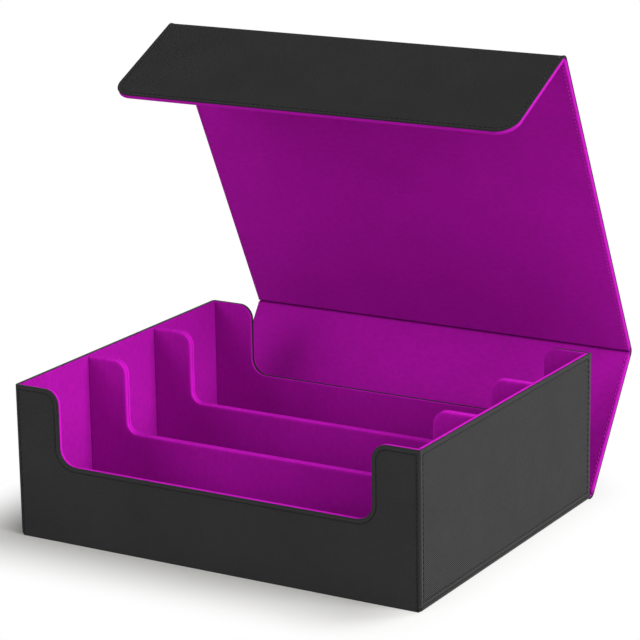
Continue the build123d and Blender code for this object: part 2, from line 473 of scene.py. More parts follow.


# Sections across the free sides

# Where a rolled edge runs out into the flat sheet: how far past the edge, and how much of the edge's painted
# shade (on leather) or painted highlight (on lining) the sheet still gets.
SHOULDER = 0.35
SHOULDER_EDGE_PAINT = 0.25

# The rings of a seam's valley, from the edge inward: place across it, depth, which also sets its painted
# shade, and what is left of the band.
VALLEY = ((-1.0, 0.0, 1.0), (-0.6, 0.35, 0.9), (-0.25, 0.95, 0.7), (0.25, 0.95, 0.5), (0.6, 0.35, 0.2))


@dataclass(frozen=True)
class Groove:
    """The shallow valley that a seam pulls into a sheet.

    Attributes:
        inset: distance of the seam from the edge.
        depth: depth of the valley.
        half: half its width.
        plateau: width of flat sheet that keeps the shading even beyond it.
        shade: how much of a seam's painted shade it gets.
    """

    inset: float = 3.1
    depth: float = 0.12
    half: float = 0.8
    plateau: float = 0.4
    shade: float = 1.0

    def rings(self, surface: float) -> list[Ring]:
        """Section of the valley in a surface at a height.

        Args:
            surface: height of the sheet's face.

        Returns:
            The rings, from the edge inward.
        """
        rings = [Ring(self.inset - self.half - self.plateau, surface, band=1.0)]
        for place, sunk, band in VALLEY:
            inset, height = self.inset + place * self.half, surface - sunk * self.depth
            rings.append(Ring(inset, height, band=band, seam=sunk * self.shade))
        rings.append(Ring(self.inset + self.half, surface))
        rings.append(Ring(self.inset + self.half + self.plateau, surface))
        return rings

    def floor(self, surface: float) -> float:
        """Height of the bottom of the valley."""
        return surface - self.depth


def rolled_edge(radius: float, face: float, start: float, steps: int = 8) -> list[Ring]:
    """Rings round an edge, from an angle below level up to a face.

    Args:
        radius: radius of the edge.
        face: height of the face that the edge ends in.
        start: angle at which it starts, in radians, and 0 where it is upright.
        steps: straight pieces in it.

    Returns:
        The rings, from the back to the face.
    """
    rings = []
    for step in range(steps + 1):
        angle = start + (QUARTER_TURN - start) * step / steps
        height = face - radius + radius * sin(angle)
        # Every ring of a rolled edge is marked for the edge's painted shade on leather.
        rings.append(Ring(radius * (1 - cos(angle)), height, edge=1.0, band=1.0))
    return rings


def leather_section(thickness: float, groove: Groove, crown: float) -> list[Ring]:
    """Section of a leather sheet with a rolled edge.

    Args:
        thickness: thickness of the leather.
        groove: the seam's valley.
        crown: how far the leather stands proud between the edge and the seam.

    Returns:
        The rings from the back of the sheet, round the edge, to its front.
    """
    radius = thickness / 2
    crown_inset, first_rise = 1.7, 0.6
    rings = rolled_edge(radius, thickness, -QUARTER_TURN)
    rings.append(Ring(radius + SHOULDER, thickness + crown * first_rise, edge=SHOULDER_EDGE_PAINT, band=1.0))
    rings.append(Ring(crown_inset, thickness + crown, band=1.0))
    return rings + groove.rings(thickness)


def wall_section(thickness: float, lining: float, lip: float, roll: float, groove: Groove) -> list[Ring]:
    """Section of a wall's leather, which turns in over the top of the board.

    Args:
        thickness: thickness of the leather.
        lining: thickness of what covers the rest of the board's top.
        lip: how far the leather goes in over the board.
        roll: radius of its outer edge.
        groove: the seam's valley.

    Returns:
        The rings from the back of the sheet, round the lip, to its front.
    """
    nip = 0.3
    rings = [
        Ring(lining, 0.0),
        Ring(lining, -lip, flat=(lining, 0.0)),
        Ring(nip, -lip, edge=1.0, band=1.0, flat=(nip, 0.0)),
        Ring(0.0, nip - lip, edge=1.0, band=1.0, flat=(0.0, 0.0)),
    ]
    rings += rolled_edge(roll, thickness, 0.0)
    rings.append(Ring(roll + SHOULDER, thickness, edge=SHOULDER_EDGE_PAINT, band=1.0))
    return rings + groove.rings(thickness)


def base_section(thickness: float, rise: float, roll: float) -> list[Ring]:
    """Section of the base's leather, which turns up round the base board.

    Args:
        thickness: thickness of the leather.
        rise: how far it goes up beside the board.
        roll: radius of the lower edge.

    Returns:
        The rings from the upper face of the sheet, over its rim, to the underside.
    """
    nip, run_out = 0.15, 0.5
    rings = [
        Ring(thickness, 0.0, flat=(thickness, 0.0)),
        Ring(thickness, -rise, flat=(thickness, 0.0)),
        Ring(nip, -rise, edge=1.0, band=1.0, flat=(0.0, 0.0)),
        Ring(0.0, nip - rise, edge=1.0, band=1.0, flat=(0.0, 0.0)),
    ]
    beside_fold = rolled_edge(thickness, thickness, 0.0)
    for round_ring, small in zip(rolled_edge(roll, thickness, 0.0), beside_fold):
        rings.append(replace(round_ring, flat=(small.inset, small.height)))
    return rings + [Ring(roll + run_out, thickness)]


def lining_section(
    board: float, lining: float, roll: float, wide: float, edge_highlight: float, start: float = 0.0,
    groove: Groove | None = None,
) -> list[Ring]:
    """Section of a lining that covers a board and turns over its edge.

    Args:
        board: thickness of the board.
        lining: thickness of the lining.
        roll: how high its round edge is.
        wide: how wide its round edge is.
        edge_highlight: how much painted highlight the turned edge gets, 0 to 1.
        start: how far in from the board's outer face it starts.
        groove: the seam's valley, if it has one.

    Returns:
        The rings from inside the turned edge, round it, to the lining's face.
    """
    steps, nip = 6, 0.15
    fading, fade_end, face_start = 0.45, 0.4, 0.9
    face = board + lining
    # The turned edge gets a painted highlight, fading across its roll.
    rings = [
        Ring(lining, board),
        Ring(lining, start, flat=(lining, 0.0)),
        Ring(nip, start, edge=edge_highlight, flat=(nip, 0.0)),
        Ring(0.0, start + nip, edge=edge_highlight, flat=(0.0, nip)),
    ]
    for step in range(steps + 1):
        angle = QUARTER_TURN * step / steps
        edge = edge_highlight * (1.0 - fading * step / steps)
        rings.append(Ring(wide * (1 - cos(angle)), face - roll + roll * sin(angle), edge=edge))
    if groove:
        return rings + groove.rings(face)
    rings.append(Ring(wide + fade_end, face, edge=SHOULDER_EDGE_PAINT * edge_highlight))
    return rings + [Ring(wide + face_start, face)]


def divider_section(board_half: float, half: float, lining: float, roll: float, bevel: float) -> list[Ring]:
    """Section of one of the two linings that close round a divider's board.

    Args:
        board_half: half the thickness of the board.
        half: half the thickness of the divider.
        lining: thickness of the lining.
        roll: radius of the divider's soft edge.
        bevel: size of the notch where the two linings meet.

    Returns:
        The rings from inside the lining, round its edge, to its face.
    """
    steps, notch = 8, bevel * 0.35
    # The divider's soft edge gets a painted highlight that fades across its roll.
    edge_highlight, fading, fade_end, face_start = 0.8, 0.45, 0.5, 1.8
    rings = [
        Ring(lining, board_half),
        Ring(lining, 0.0),
        # Painted shade in the notch where the divider's two linings meet.
        Ring(bevel, 0.0, seam=1.0),
        Ring(notch, notch, edge=0.3, seam=0.5),
        Ring(0.0, bevel, edge=edge_highlight),
    ]
    for step in range(steps + 1):
        angle = QUARTER_TURN * step / steps
        height = half - roll + roll * sin(angle)
        rings.append(Ring(roll * (1 - cos(angle)), height, edge=edge_highlight - fading * step / steps))
    rings.append(Ring(roll + fade_end, half, edge=SHOULDER_EDGE_PAINT))
    rings.append(Ring(roll + face_start, half))
    return rings


# Meshes


def new_object(name: str, data: ID) -> Object:
    """Make an object of its data and link it to the scene.

    Args:
        name: name of the object.
        data: its mesh, lamp or camera.

    Returns:
        The object.
    """
    item = bpy.data.objects.new(name, data)
    bpy.context.scene.collection.objects.link(item)
    return item


def join_mesh(mesh: BMesh, extra: BMesh) -> None:
    """Move what is in one bmesh into another.

    Args:
        mesh: the bmesh that takes it.
        extra: the bmesh that gives it, which is freed.
    """
    data = bpy.data.meshes.new("extra")
    extra.to_mesh(data)
    extra.free()
    mesh.from_mesh(data)
    bpy.data.meshes.remove(data)


def finish_mesh(mesh: BMesh, name: str, sharp: float = 40.0) -> Object:
    """Turn a bmesh in metres into an object at the origin, smooth but for its sharp edges.

    Args:
        mesh: the bmesh, which is freed.
        name: name of the object.
        sharp: angle in degrees past which an edge stays sharp.

    Returns:
        The object, linked to the scene.
    """
    if mesh.calc_volume(signed=True) < 0:
        bmesh.ops.reverse_faces(mesh, faces=mesh.faces[:])
    data = bpy.data.meshes.new(name)
    mesh.to_mesh(data)
    mesh.free()
    data.shade_smooth()
    data.set_sharp_from_angle(angle=radians(sharp))
    return new_object(name, data)


@dataclass(frozen=True)
class Look:
    """A finished material.

    Attributes:
        material: the material.
        slot: the record's slot for the pieces that have it.
    """

    material: Material
    slot: Slot


def dress(item: Object, look: Look) -> None:
    """Give a piece its only material.

    Args:
        item: the piece.
        look: its look.
    """
    item.data.materials.clear()
    item.data.materials.append(look.material)


def install(item: Object, node: str, look: Look, body: Body) -> None:
    """Dress a sheet and put it in the place of a node of the frame.

    Args:
        item: the sheet.
        node: the node that it stands for.
        look: its look.
        body: the body that it moves with.
    """
    dress(item, look)
    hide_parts(node)
    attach(item, body.value)
    log.info("%s: %d faces", item.name, len(item.data.polygons))


@dataclass(frozen=True)
class Seam:
    """A line of stitches.

    Attributes:
        places: points of the line, in metres.
        outward: direction out of the sheet at each point.
    """

    places: tuple[Vector, ...]
    outward: tuple[Vector, ...]


@dataclass
class Sheet:
    """A pattern with its section and its lay.

    Attributes:
        pattern: the flat outline.
        section: the rings, from the back of the sheet to its front.
        lay: how it lies in space.
        relief: changes a point's height in the pattern, if given.
        corner_highlight: distances along the pattern at which a highlight is painted where the sheet turns
            round a corner.
        highlight_reach: how far from there the painted highlight reaches.
    """

    pattern: Pattern
    section: list[Ring]
    lay: Lay
    relief: Relief | None = None
    corner_highlight: Sequence[float] = ()
    highlight_reach: float = 0.75

    def columns(self) -> tuple[list[list[tuple[Flat, Ring]]], list[bool]]:
        """Lines of points across the edge, one at each point of the outline.

        Returns:
            The lines, each from the back of the sheet to its front, and for each whether the side that
            follows it is free.
        """
        corners = self.pattern.corners
        columns, free = [], []
        for index, corner in enumerate(corners):
            before = corners[index - 1]
            rolled = corner.free or before.free
            section = self.section if rolled else [self.section[0], self.section[-1]]
            turned = {side.turned for side in (before, corner) if side.free} or {True}
            flat_section = [ring.laid_flat() for ring in section]
            batches = [(section if True in turned else flat_section, True)]
            if len(turned) == 2:
                batches.insert(1 if before.turned else 0, (flat_section, False))
            for rings, whole in batches:
                points = [self.pattern.corner_points(index, ring.inset) for ring in rings]
                last = len(points[0]) - 1
                steps = range(last + 1) if whole else [last if before.turned else 0]
                for step in steps:
                    columns.append([(points[row][step], ring) for row, ring in enumerate(rings)])
                    free.append(True)
            free[-1] = corner.free
        return columns, free

    def flat_mesh(self) -> BMesh:
        """Build the sheet flat, closed all round.

        Returns:
            The mesh, in millimetres in the pattern's directions.
        """
        mesh = bmesh.new()
        zone = mesh.verts.layers.float_vector.new("zone")
        known: dict[tuple[float, float, float], BMVert] = {}

        def vertex(flat: Flat, ring: Ring) -> BMVert:
            """Make a vertex, or find it where it is made already.

            Args:
                flat: its place in the pattern.
                ring: its ring.

            Returns:
                The vertex.
            """
            key = tuple(round(part, DECIMALS) for part in (*flat, ring.height))
            if key not in known:
                known[key] = mesh.verts.new(key)
                known[key][zone] = Vector((ring.edge, ring.band, ring.seam))
            return known[key]

        def face(loop: list[BMVert]) -> None:
            """Make a face, if it still has three corners without its repeats.

            Args:
                loop: its vertices.
            """
            kept = [v for number, v in enumerate(loop) if v is not loop[number - 1]]
            if len(set(kept)) > 2 and len(set(kept)) == len(kept) and not mesh.faces.get(kept):
                mesh.faces.new(kept)

        columns, free = self.columns()
        lines = [[vertex(flat, ring) for flat, ring in column] for column in columns]
        for number, line in enumerate(lines):
            following = lines[(number + 1) % len(lines)]
            if free[number]:
                for low in range(len(line) - 1):
                    face([line[low], following[low], following[low + 1], line[low + 1]])
            else:
                face(line[::-1] + following)
        face([line[-1] for line in lines])
        face([line[0] for line in reversed(lines)])
        return mesh

    def build(self, name: str, joined: BMesh | None = None) -> Object:
        """Make the sheet an object.

        Args:
            name: name of the object.
            joined: a mesh already in place that becomes part of the same object.

        Returns:
            The object.
        """
        mesh = self.laid()
        if joined:
            join_mesh(mesh, joined)
        return finish_mesh(mesh, name)

    def laid(self) -> BMesh:
        """Bend the flat sheet into place, with its pattern kept as a UV map.

        Returns:
            The mesh, in metres.
        """
        mesh = self.flat_mesh()
        for place in self.lay.bends():
            parts, cut = mesh.verts[:] + mesh.edges[:] + mesh.faces[:], (place, 0, 0)
            bmesh.ops.bisect_plane(mesh, geom=parts, dist=SAME_PLACE, plane_co=cut, plane_no=(1, 0, 0))
        cloth = mesh.loops.layers.uv.new("pattern")
        for part in mesh.faces:
            for loop in part.loops:
                along, across, height = loop.vert.co
                loop[cloth].uv = ((along + height) * MM, (across + height) * MM)
        zone = mesh.verts.layers.float_vector["zone"]
        for point in mesh.verts:
            along, across, height = point.co
            # Paint a highlight where the sheet turns round a corner: the edge channel is pulled toward -1
            # near each place.
            for place in self.corner_highlight:
                highlight_amount = max(0.0, 1.0 - abs(along - place) / self.highlight_reach)
                point[zone].x -= highlight_amount * (1.0 + point[zone].x)
            if self.relief:
                height = self.relief(along, across, height)
            point.co = self.lay.lift(along, across, height) * MM
        return mesh

    def seams(self, groove: Groove, sunk: float, trim: float = 1.6) -> list[Seam]:
        """Lines of stitches along the free sides.

        Args:
            groove: the valley that the stitches lie in.
            sunk: height of the stitches' middle in the pattern.
            trim: how far a seam stops before a side that is cut.

        Returns:
            One seam for each stretch of free sides.
        """
        found = []
        for run in self.pattern.free_runs(groove.inset):
            points = [Vector(point) for point in run]
            if (points[0] - points[-1]).length > trim:
                points[0] += (points[1] - points[0]).normalized() * trim
                points[-1] += (points[-2] - points[-1]).normalized() * trim
            places = tuple(self.lay.lift(point.x, point.y, sunk) * MM for point in points)
            outward = tuple(self.lay.follow(point.x)[1] for point in points)
            found.append(Seam(places, outward))
        return found


# Node trees


class NodeBoard:
    """A short way to place nodes in a tree and to join them."""

    def __init__(self, tree: NodeTree) -> None:
        """Take a tree and empty it."""
        self.tree = tree
        tree.nodes.clear()

    def add(self, kind: str, values: dict[str | int, object] | None = None, **settings: object) -> Node:
        """Place a node.

        Args:
            kind: the node's type name.
            values: for each input, a plain value, or the socket or node that feeds it.
            settings: properties of the node.

        Returns:
            The node.
        """
        node = self.tree.nodes.new(kind)
        for name, value in settings.items():
            setattr(node, name, value)
        for name, value in (values or {}).items():
            if isinstance(value, (Node, NodeSocket)):
                source = value.outputs[0] if isinstance(value, Node) else value
                self.tree.links.new(source, node.inputs[name])
            else:
                node.inputs[name].default_value = value
        return node

    def math(self, operation: str, *terms: object) -> NodeSocket:
        """Result of a Math node on one to three numbers or sockets."""
        return self.add("ShaderNodeMath", dict(enumerate(terms)), operation=operation).outputs[0]

    def times(self, first: object, second: object) -> NodeSocket:
        """Product of two numbers or sockets."""
        return self.math("MULTIPLY", first, second)

    def scaled(self, value: object, factor: object, start: object) -> NodeSocket:
        """A start, plus a value times a factor."""
        return self.math("MULTIPLY_ADD", value, factor, start)

    def mix(self, factor: object, first: object, second: object, blend: str = "MIX") -> NodeSocket:
        """Result of a colour Mix node."""
        node = self.add("ShaderNodeMix", {0: factor, 6: first, 7: second}, data_type="RGBA", blend_type=blend)
        return node.outputs[2]

    def toned(self, colour: object, level: NodeSocket) -> NodeSocket:
        """A colour made lighter or darker by a level."""
        grey = self.add("ShaderNodeCombineColor", {0: level, 1: level, 2: level})
        return self.mix(1.0, colour, grey, "MULTIPLY")

    def noise(self, place: object, scale: object, detail: float, roughness: float = 0.5) -> NodeSocket:
        """Value of a noise, from a scale per metre."""
        values = {"Vector": place, "Scale": scale, "Detail": detail, "Roughness": roughness}
        return self.add("ShaderNodeTexNoise", values).outputs["Fac"]

    def bump(self, height: NodeSocket, relief: float, strength: float = 1.0) -> NodeSocket:
        """Normal of a surface with a relief in metres."""
        values = {"Strength": strength, "Distance": relief, "Height": height}
        return self.add("ShaderNodeBump", values).outputs[0]

    def place(self) -> NodeSocket:
        """Place on the piece, in metres."""
        return self.add("ShaderNodeTexCoord").outputs["Object"]

    def pattern(self) -> NodeSocket:
        """Place on the sheet's pattern, in metres."""
        return self.add("ShaderNodeUVMap", uv_map="pattern").outputs[0]

    def zones(self) -> Sequence[NodeSocket]:
        """A sheet's edge, band and seam, as its section sets them."""
        attribute = self.add("ShaderNodeAttribute", attribute_name="zone")
        return self.add("ShaderNodeSeparateXYZ", {0: attribute.outputs["Vector"]}).outputs[:3]

    def effect(self, group: NodeTree, values: dict[str, object]) -> Sequence[NodeSocket]:
        """Outputs of a shared group, placed with its own values."""
        return self.add("ShaderNodeGroup", values, node_tree=group).outputs

    def surface(self, values: dict[str, object]) -> None:
        """End a material in a Principled shader with these values."""
        self.add("ShaderNodeOutputMaterial", {"Surface": self.add("ShaderNodeBsdfPrincipled", values)})


def new_group(
    name: str, kind: str, takes: dict[str, object], gives: dict[str, str]
) -> tuple[NodeTree, NodeBoard, Node]:
    """Start a node group with named sockets.

    Args:
        name: name of the group.
        kind: type of its tree.
        takes: default value of each input, or its socket type where it has no default.
        gives: socket type of each output.

    Returns:
        The tree, a board to place nodes on, and its input node.
    """
    tree = bpy.data.node_groups.new(name, kind)
    for label, value in takes.items():
        plain = not isinstance(value, str)
        socket = (VECTOR if isinstance(value, tuple) else NUMBER) if plain else value
        made = tree.interface.new_socket(name=label, in_out="INPUT", socket_type=socket)
        if plain:
            made.default_value = value
    for label, socket in gives.items():
        tree.interface.new_socket(name=label, in_out="OUTPUT", socket_type=socket)
    board = NodeBoard(tree)
    return tree, board, board.add("NodeGroupInput")


class SurfaceEffects:
    """The shader groups that the finishes share."""

    def __init__(self) -> None:
        """Build each group once."""
        self.grain = self.cross_grain()
        self.mottle = self.soft_mottle()
        self.nap = self.brushed_nap()

    def cross_grain(self) -> NodeTree:
        """Fine ribs pressed slantwise into leather, crossed by a fainter set, with uneven pores.

        Returns:
            A group that turns pattern coordinates in metres into a height and a shade.
        """
        waver_scale, pore_scale = 240.0, 900.0
        crossing_share, rib_height, rib_shade = 0.6, 0.26, 0.31
        takes = {"Pattern": ZERO, "Pitch": 0.00113, "Lean": 0.7, "Waver": 0.0004}
        gives = {"Height": NUMBER, "Shade": NUMBER}
        tree, board, given = new_group("cross_grain", "ShaderNodeTree", takes, gives)
        pattern, pitch, lean, waver = given.outputs[:4]
        drift = board.noise(pattern, waver_scale, 1.0)
        split = board.add("ShaderNodeSeparateXYZ", {0: pattern}).outputs
        risen = board.times(split[1], board.math("COSINE", lean))
        rising = board.scaled(drift, waver, risen)
        aside = board.times(split[0], board.math("SINE", lean))
        turns = board.math("DIVIDE", 2 * pi, pitch)
        ribs = board.math("SINE", board.times(board.math("ADD", rising, aside), turns))
        crossing = board.math("SINE", board.times(board.math("SUBTRACT", rising, aside), turns))
        pores = board.noise(pattern, pore_scale, 2.0)
        woven = board.scaled(crossing, crossing_share, ribs)
        height = board.scaled(woven, rib_height, pores)
        shade = board.scaled(woven, rib_shade, 0.5)
        board.add("NodeGroupOutput", {"Height": height, "Shade": shade})
        return tree

    def soft_mottle(self) -> NodeTree:
        """Slow, soft changes of tone.

        Returns:
            A group that puts out a factor that wanders about 1.
        """
        takes = {"Place": ZERO, "Size": 0.03, "Amount": 0.1}
        tree, board, given = new_group("soft_mottle", "ShaderNodeTree", takes, {"Factor": NUMBER})
        place, size, amount = given.outputs[:3]
        noise = board.noise(place, board.math("DIVIDE", 1.0, size), 3.0, 0.55)
        centred = board.math("SUBTRACT", noise, 0.5)
        doubled = board.times(centred, 2.0)
        factor = board.scaled(doubled, amount, 1.0)
        board.add("NodeGroupOutput", {"Factor": factor})
        return tree

    def brushed_nap(self) -> NodeTree:
        """Short fibres brushed one way, as on microfibre, felt and grey board.

        Returns:
            A group that turns pattern coordinates in metres into a height and a tone factor.
        """
        stroke_size, stroke_share, middle = 5.0, 1.2, 1.1
        takes = {"Pattern": ZERO, "Fibre": 0.0006, "Stretch": 0.55, "Tone": 0.12}
        gives = {"Height": NUMBER, "Factor": NUMBER}
        tree, board, given = new_group("brushed_nap", "ShaderNodeTree", takes, gives)
        pattern, fibre, stretch, tone = given.outputs[:4]
        split = board.add("ShaderNodeSeparateXYZ", {0: pattern}).outputs
        long_way = board.times(split[1], stretch)
        drawn = board.add("ShaderNodeCombineXYZ", {0: split[0], 1: long_way, 2: split[2]})
        scale = board.math("DIVIDE", 1.0, fibre)
        fibres = board.noise(drawn, scale, 3.0, 0.65)
        strokes = board.noise(drawn, board.math("DIVIDE", scale, stroke_size), 2.0, 0.6)
        blended = board.scaled(strokes, stroke_share, fibres)
        centred = board.math("SUBTRACT", blended, middle)
        factor = board.scaled(centred, tone, 1.0)
        board.add("NodeGroupOutput", {"Height": fibres, "Factor": factor})
        return tree


def new_material(name: str) -> tuple[Material, NodeBoard]:
    """Start a node material.

    Args:
        name: name of the material.

    Returns:
        The material and a board to place its nodes on.
    """
    material = bpy.data.materials.new(name)
    material.use_nodes = True
    return material, NodeBoard(material.node_tree)


@dataclass(frozen=True)
class LeatherFinish:
    """Synthetic leather with pressed ribs, smoother between its edge and its seam.

    Attributes:
        name: name of the material.
        colour: colour of the face.
        pitch: spacing of the ribs, in metres.
        lean: turn of the ribs off the pattern's first direction, in radians.
        relief: height of the ribs, in metres.
        flattened: share of the ribs that pressing takes away between edge and seam.
        rib_shade: how much darker the leather is between the ribs, and lighter on them.
        seam_shade: how much darker painted shade makes it in a seam's groove.
        band_shade: how much darker it is between edge and seam, where it is pressed.
        edge_shade: how much darker painted shade makes its rolled edge.
        corner_highlight_lift: how much lighter a painted highlight makes it where it turns round a corner.
        mottle: how much its tone wanders.
        mottle_size: size of the tone's patches, in metres.
        roughness: roughness of the ribbed face.
        band_roughness: roughness of the smooth band.
        edge_smoothness: how much less rough its edge is.
        scuffs: how much rougher it is where it is scuffed.
        scuff_scale: scuffs to a metre.
        polish: how much of a clear coat the pressed band has.
        polish_roughness: roughness of that coat.
        gloss: strength of its reflections.
    """

    name: str
    colour: Colour
    pitch: float = 0.00113
    lean: float = 0.705
    relief: float = 0.0004
    flattened: float = 0.6
    rib_shade: float = 0.75
    seam_shade: float = 0.3
    band_shade: float = 0.06
    edge_shade: float = 0.3
    corner_highlight_lift: float = 1.1
    mottle: float = 0.16
    mottle_size: float = 0.04
    roughness: float = 0.6
    band_roughness: float = 0.5
    edge_smoothness: float = 0.05
    scuffs: float = 0.1
    scuff_scale: float = 90.0
    polish: float = 0.05
    polish_roughness: float = 0.4
    gloss: float = 0.012

    def material(self, effects: SurfaceEffects) -> Material:
        """Build the leather.

        Args:
            effects: the shared shader groups.

        Returns:
            The material.
        """
        material, board = new_material(self.name)
        place = board.place()
        edge, band, seam = board.zones()
        ribs = {"Pattern": board.pattern(), "Pitch": self.pitch, "Lean": self.lean}
        grain = board.effect(effects.grain, ribs)
        patches = {"Place": place, "Size": self.mottle_size, "Amount": self.mottle}
        mottle = board.effect(effects.mottle, patches)["Factor"]
        open_face = board.scaled(band, -self.flattened, 1.0)
        ribbed = board.times(board.math("SUBTRACT", grain["Shade"], 0.5), open_face)
        tone = board.times(board.scaled(ribbed, self.rib_shade * 2, 1.0), mottle)
        pressed = board.scaled(band, -self.band_shade, 1.0)
        # Painted highlight where the leather turns round a corner, read from edge values below 0.
        corner_highlight = board.math("MINIMUM", edge, 0.0)
        highlighted = board.scaled(corner_highlight, -self.corner_highlight_lift, pressed)
        # Painted shade on the rolled edges, added to the pressed band and the painted corner highlight.
        band_and_painted_light = board.scaled(board.math("MAXIMUM", edge, 0.0), -self.edge_shade, highlighted)
        # Painted shade in the seams' grooves.
        level = board.times(tone, board.scaled(seam, -self.seam_shade, band_and_painted_light))
        smooth = board.scaled(edge, -self.edge_smoothness, self.roughness)
        rough = board.scaled(band, self.band_roughness - self.roughness, smooth)
        scuffed = board.noise(place, self.scuff_scale, 4.0)
        values = {
            "Base Color": board.toned(self.colour, level),
            "Roughness": board.scaled(scuffed, self.scuffs, rough),
            "Specular IOR Level": self.gloss,
            "Coat Weight": board.times(band, self.polish),
            "Coat Roughness": self.polish_roughness,
            "Normal": board.bump(board.times(grain["Height"], open_face), self.relief),
        }
        board.surface(values)
        return material


@dataclass(frozen=True)
class LiningFinish:
    """Brushed microfibre, with a painted highlight where it turns over an edge and painted shade in its
    creases.

    Attributes:
        colour: colour of the face.
        edge_highlight_colour: painted highlight colour where the lining turns over an edge, standing in for
            the sheen of its nap there.
        crease_shade_colour: painted shade colour at the bottom of a seam or a fold.
        crease_shade_share: share of that painted shade at the very bottom.
        nap: how much its tone changes from fibre to fibre.
        mottle: how much its tone wanders.
        mottle_size: size of the tone's patches, in metres.
        relief: height of the nap, in metres.
        relief_share: share of that height that light sees.
        roughness: roughness of the nap.
        gloss: strength of its reflections.
        sheen: how much light its fibres catch at a low angle.
        sheen_roughness: how widely they scatter it.
        sheen_colour: colour of that light.
    """

    colour: Colour = srgb(170, 20, 163)
    edge_highlight_colour: Colour = srgb(210, 25, 201)
    crease_shade_colour: Colour = srgb(84, 6, 84)
    crease_shade_share: float = 0.7
    nap: float = 0.3
    mottle: float = 0.09
    mottle_size: float = 0.03
    relief: float = 0.0003
    relief_share: float = 0.5
    roughness: float = 0.95
    gloss: float = 0.02
    sheen: float = 0.05
    sheen_roughness: float = 0.45
    sheen_colour: Colour = (1.0, 0.06, 0.92, 1.0)

    def material(self, effects: SurfaceEffects) -> Material:
        """Build the lining.

        Args:
            effects: the shared shader groups.

        Returns:
            The material.
        """
        material, board = new_material("magenta_lining")
        edge, _, seam = board.zones()
        nap = board.effect(effects.nap, {"Pattern": board.pattern(), "Tone": self.nap})
        patches = {"Place": board.place(), "Size": self.mottle_size, "Amount": self.mottle}
        tone = board.times(nap["Factor"], board.effect(effects.mottle, patches)["Factor"])
        # Painted highlight on the turned edges.
        edge_highlight = board.mix(edge, self.colour, self.edge_highlight_colour)
        # Painted shade at the bottom of seams and folds.
        crease_shaded = board.mix(board.times(seam, self.crease_shade_share), edge_highlight, self.crease_shade_colour)
        values = {
            "Base Color": board.toned(crease_shaded, tone),
            "Roughness": self.roughness,
            "Specular IOR Level": self.gloss,
            "Sheen Weight": self.sheen,
            "Sheen Roughness": self.sheen_roughness,
            "Sheen Tint": self.sheen_colour,
            "Normal": board.bump(nap["Height"], self.relief, self.relief_share),
        }
        board.surface(values)
        return material


@dataclass(frozen=True)
class ThreadFinish:
    """Twisted sewing thread.

    Attributes:
        name: name of the material.
        colour: colour of the thread.
        shadow: colour between its strands.
        hole: painted shade colour of the needle holes, near black.
        roughness: roughness of the strands.
        gloss: strength of its reflections.
        twist: spacing of the strands, in metres.
        relief: height of the strands, in metres.
        relief_share: share of that height that light sees.
    """

    name: str
    colour: Colour
    shadow: Colour
    hole: Colour
    roughness: float = 0.45
    gloss: float = 0.15
    twist: float = 0.0005
    relief: float = 0.0001
    relief_share: float = 0.5

    def material(self) -> Material:
        """Build the thread.

        Returns:
            The material.
        """
        material, board = new_material(self.name)
        axes = board.add("ShaderNodeSeparateXYZ", {0: board.place()}).outputs
        slant = board.math("ADD", board.math("ADD", axes[0], axes[1]), axes[2])
        strands = board.math("SINE", board.times(slant, 2 * pi / self.twist))
        share = board.scaled(strands, 0.5, 0.5)
        # Painted shade: the blobs marked hole are coloured as the dark inside of a needle hole.
        pierced = board.add("ShaderNodeAttribute", attribute_name="hole").outputs["Fac"]
        values = {
            "Base Color": board.mix(pierced, board.mix(share, self.shadow, self.colour), self.hole),
            "Roughness": self.roughness,
            "Specular IOR Level": self.gloss,
            "Normal": board.bump(share, self.relief, self.relief_share),
        }
        board.surface(values)
        return material


@dataclass(frozen=True)
class BoardFinish:
    """Grey board of pressed paper, inside every wall and panel.

    Attributes:
        colour: colour of the board.
        nap: how much its tone changes from fibre to fibre.
        mottle: how much its tone wanders.
        relief: height of its fibres, in metres.
        relief_share: share of that height that light sees.
        roughness: roughness of its face.
    """

    colour: Colour = srgb(142, 138, 130)
    nap: float = 0.35
    mottle: float = 0.08
    relief: float = 0.0001
    relief_share: float = 0.4
    roughness: float = 0.9

    def material(self, effects: SurfaceEffects) -> Material:
        """Build the board.

        Args:
            effects: the shared shader groups.

        Returns:
            The material.
        """
        material, board = new_material("grey_board")
        place = board.place()
        nap = board.effect(effects.nap, {"Pattern": place, "Tone": self.nap})
        mottle = board.effect(effects.mottle, {"Place": place, "Amount": self.mottle})["Factor"]
        values = {
            "Base Color": board.toned(self.colour, board.times(nap["Factor"], mottle)),
            "Roughness": self.roughness,
            "Normal": board.bump(nap["Height"], self.relief, self.relief_share),
        }
        board.surface(values)
        return material


@dataclass(frozen=True)
class SteelFinish:
    """Nickel-plated steel of the closing magnets.

    Attributes:
        colour: colour of the plating.
        stroke: width of the brush strokes, in metres.
        stretch: how drawn out they are, 0 being endless.
        tone: how much the tone changes from stroke to stroke.
        roughness: roughness between the strokes.
        stroke_roughness: how much rougher a stroke is.
    """

    colour: Colour = srgb(196, 196, 192)
    stroke: float = 0.0003
    stretch: float = 0.05
    tone: float = 0.2
    roughness: float = 0.2
    stroke_roughness: float = 0.2

    def material(self, effects: SurfaceEffects) -> Material:
        """Build the steel.

        Args:
            effects: the shared shader groups.

        Returns:
            The material.
        """
        material, board = new_material("magnet_steel")
        strokes = {"Pattern": board.place(), "Fibre": self.stroke, "Stretch": self.stretch, "Tone": self.tone}
        brush = board.effect(effects.nap, strokes)
        values = {
            "Base Color": board.toned(self.colour, brush["Factor"]),
            "Metallic": 1.0,
            "Roughness": board.scaled(brush["Height"], self.stroke_roughness, self.roughness),
        }
        board.surface(values)
        return material


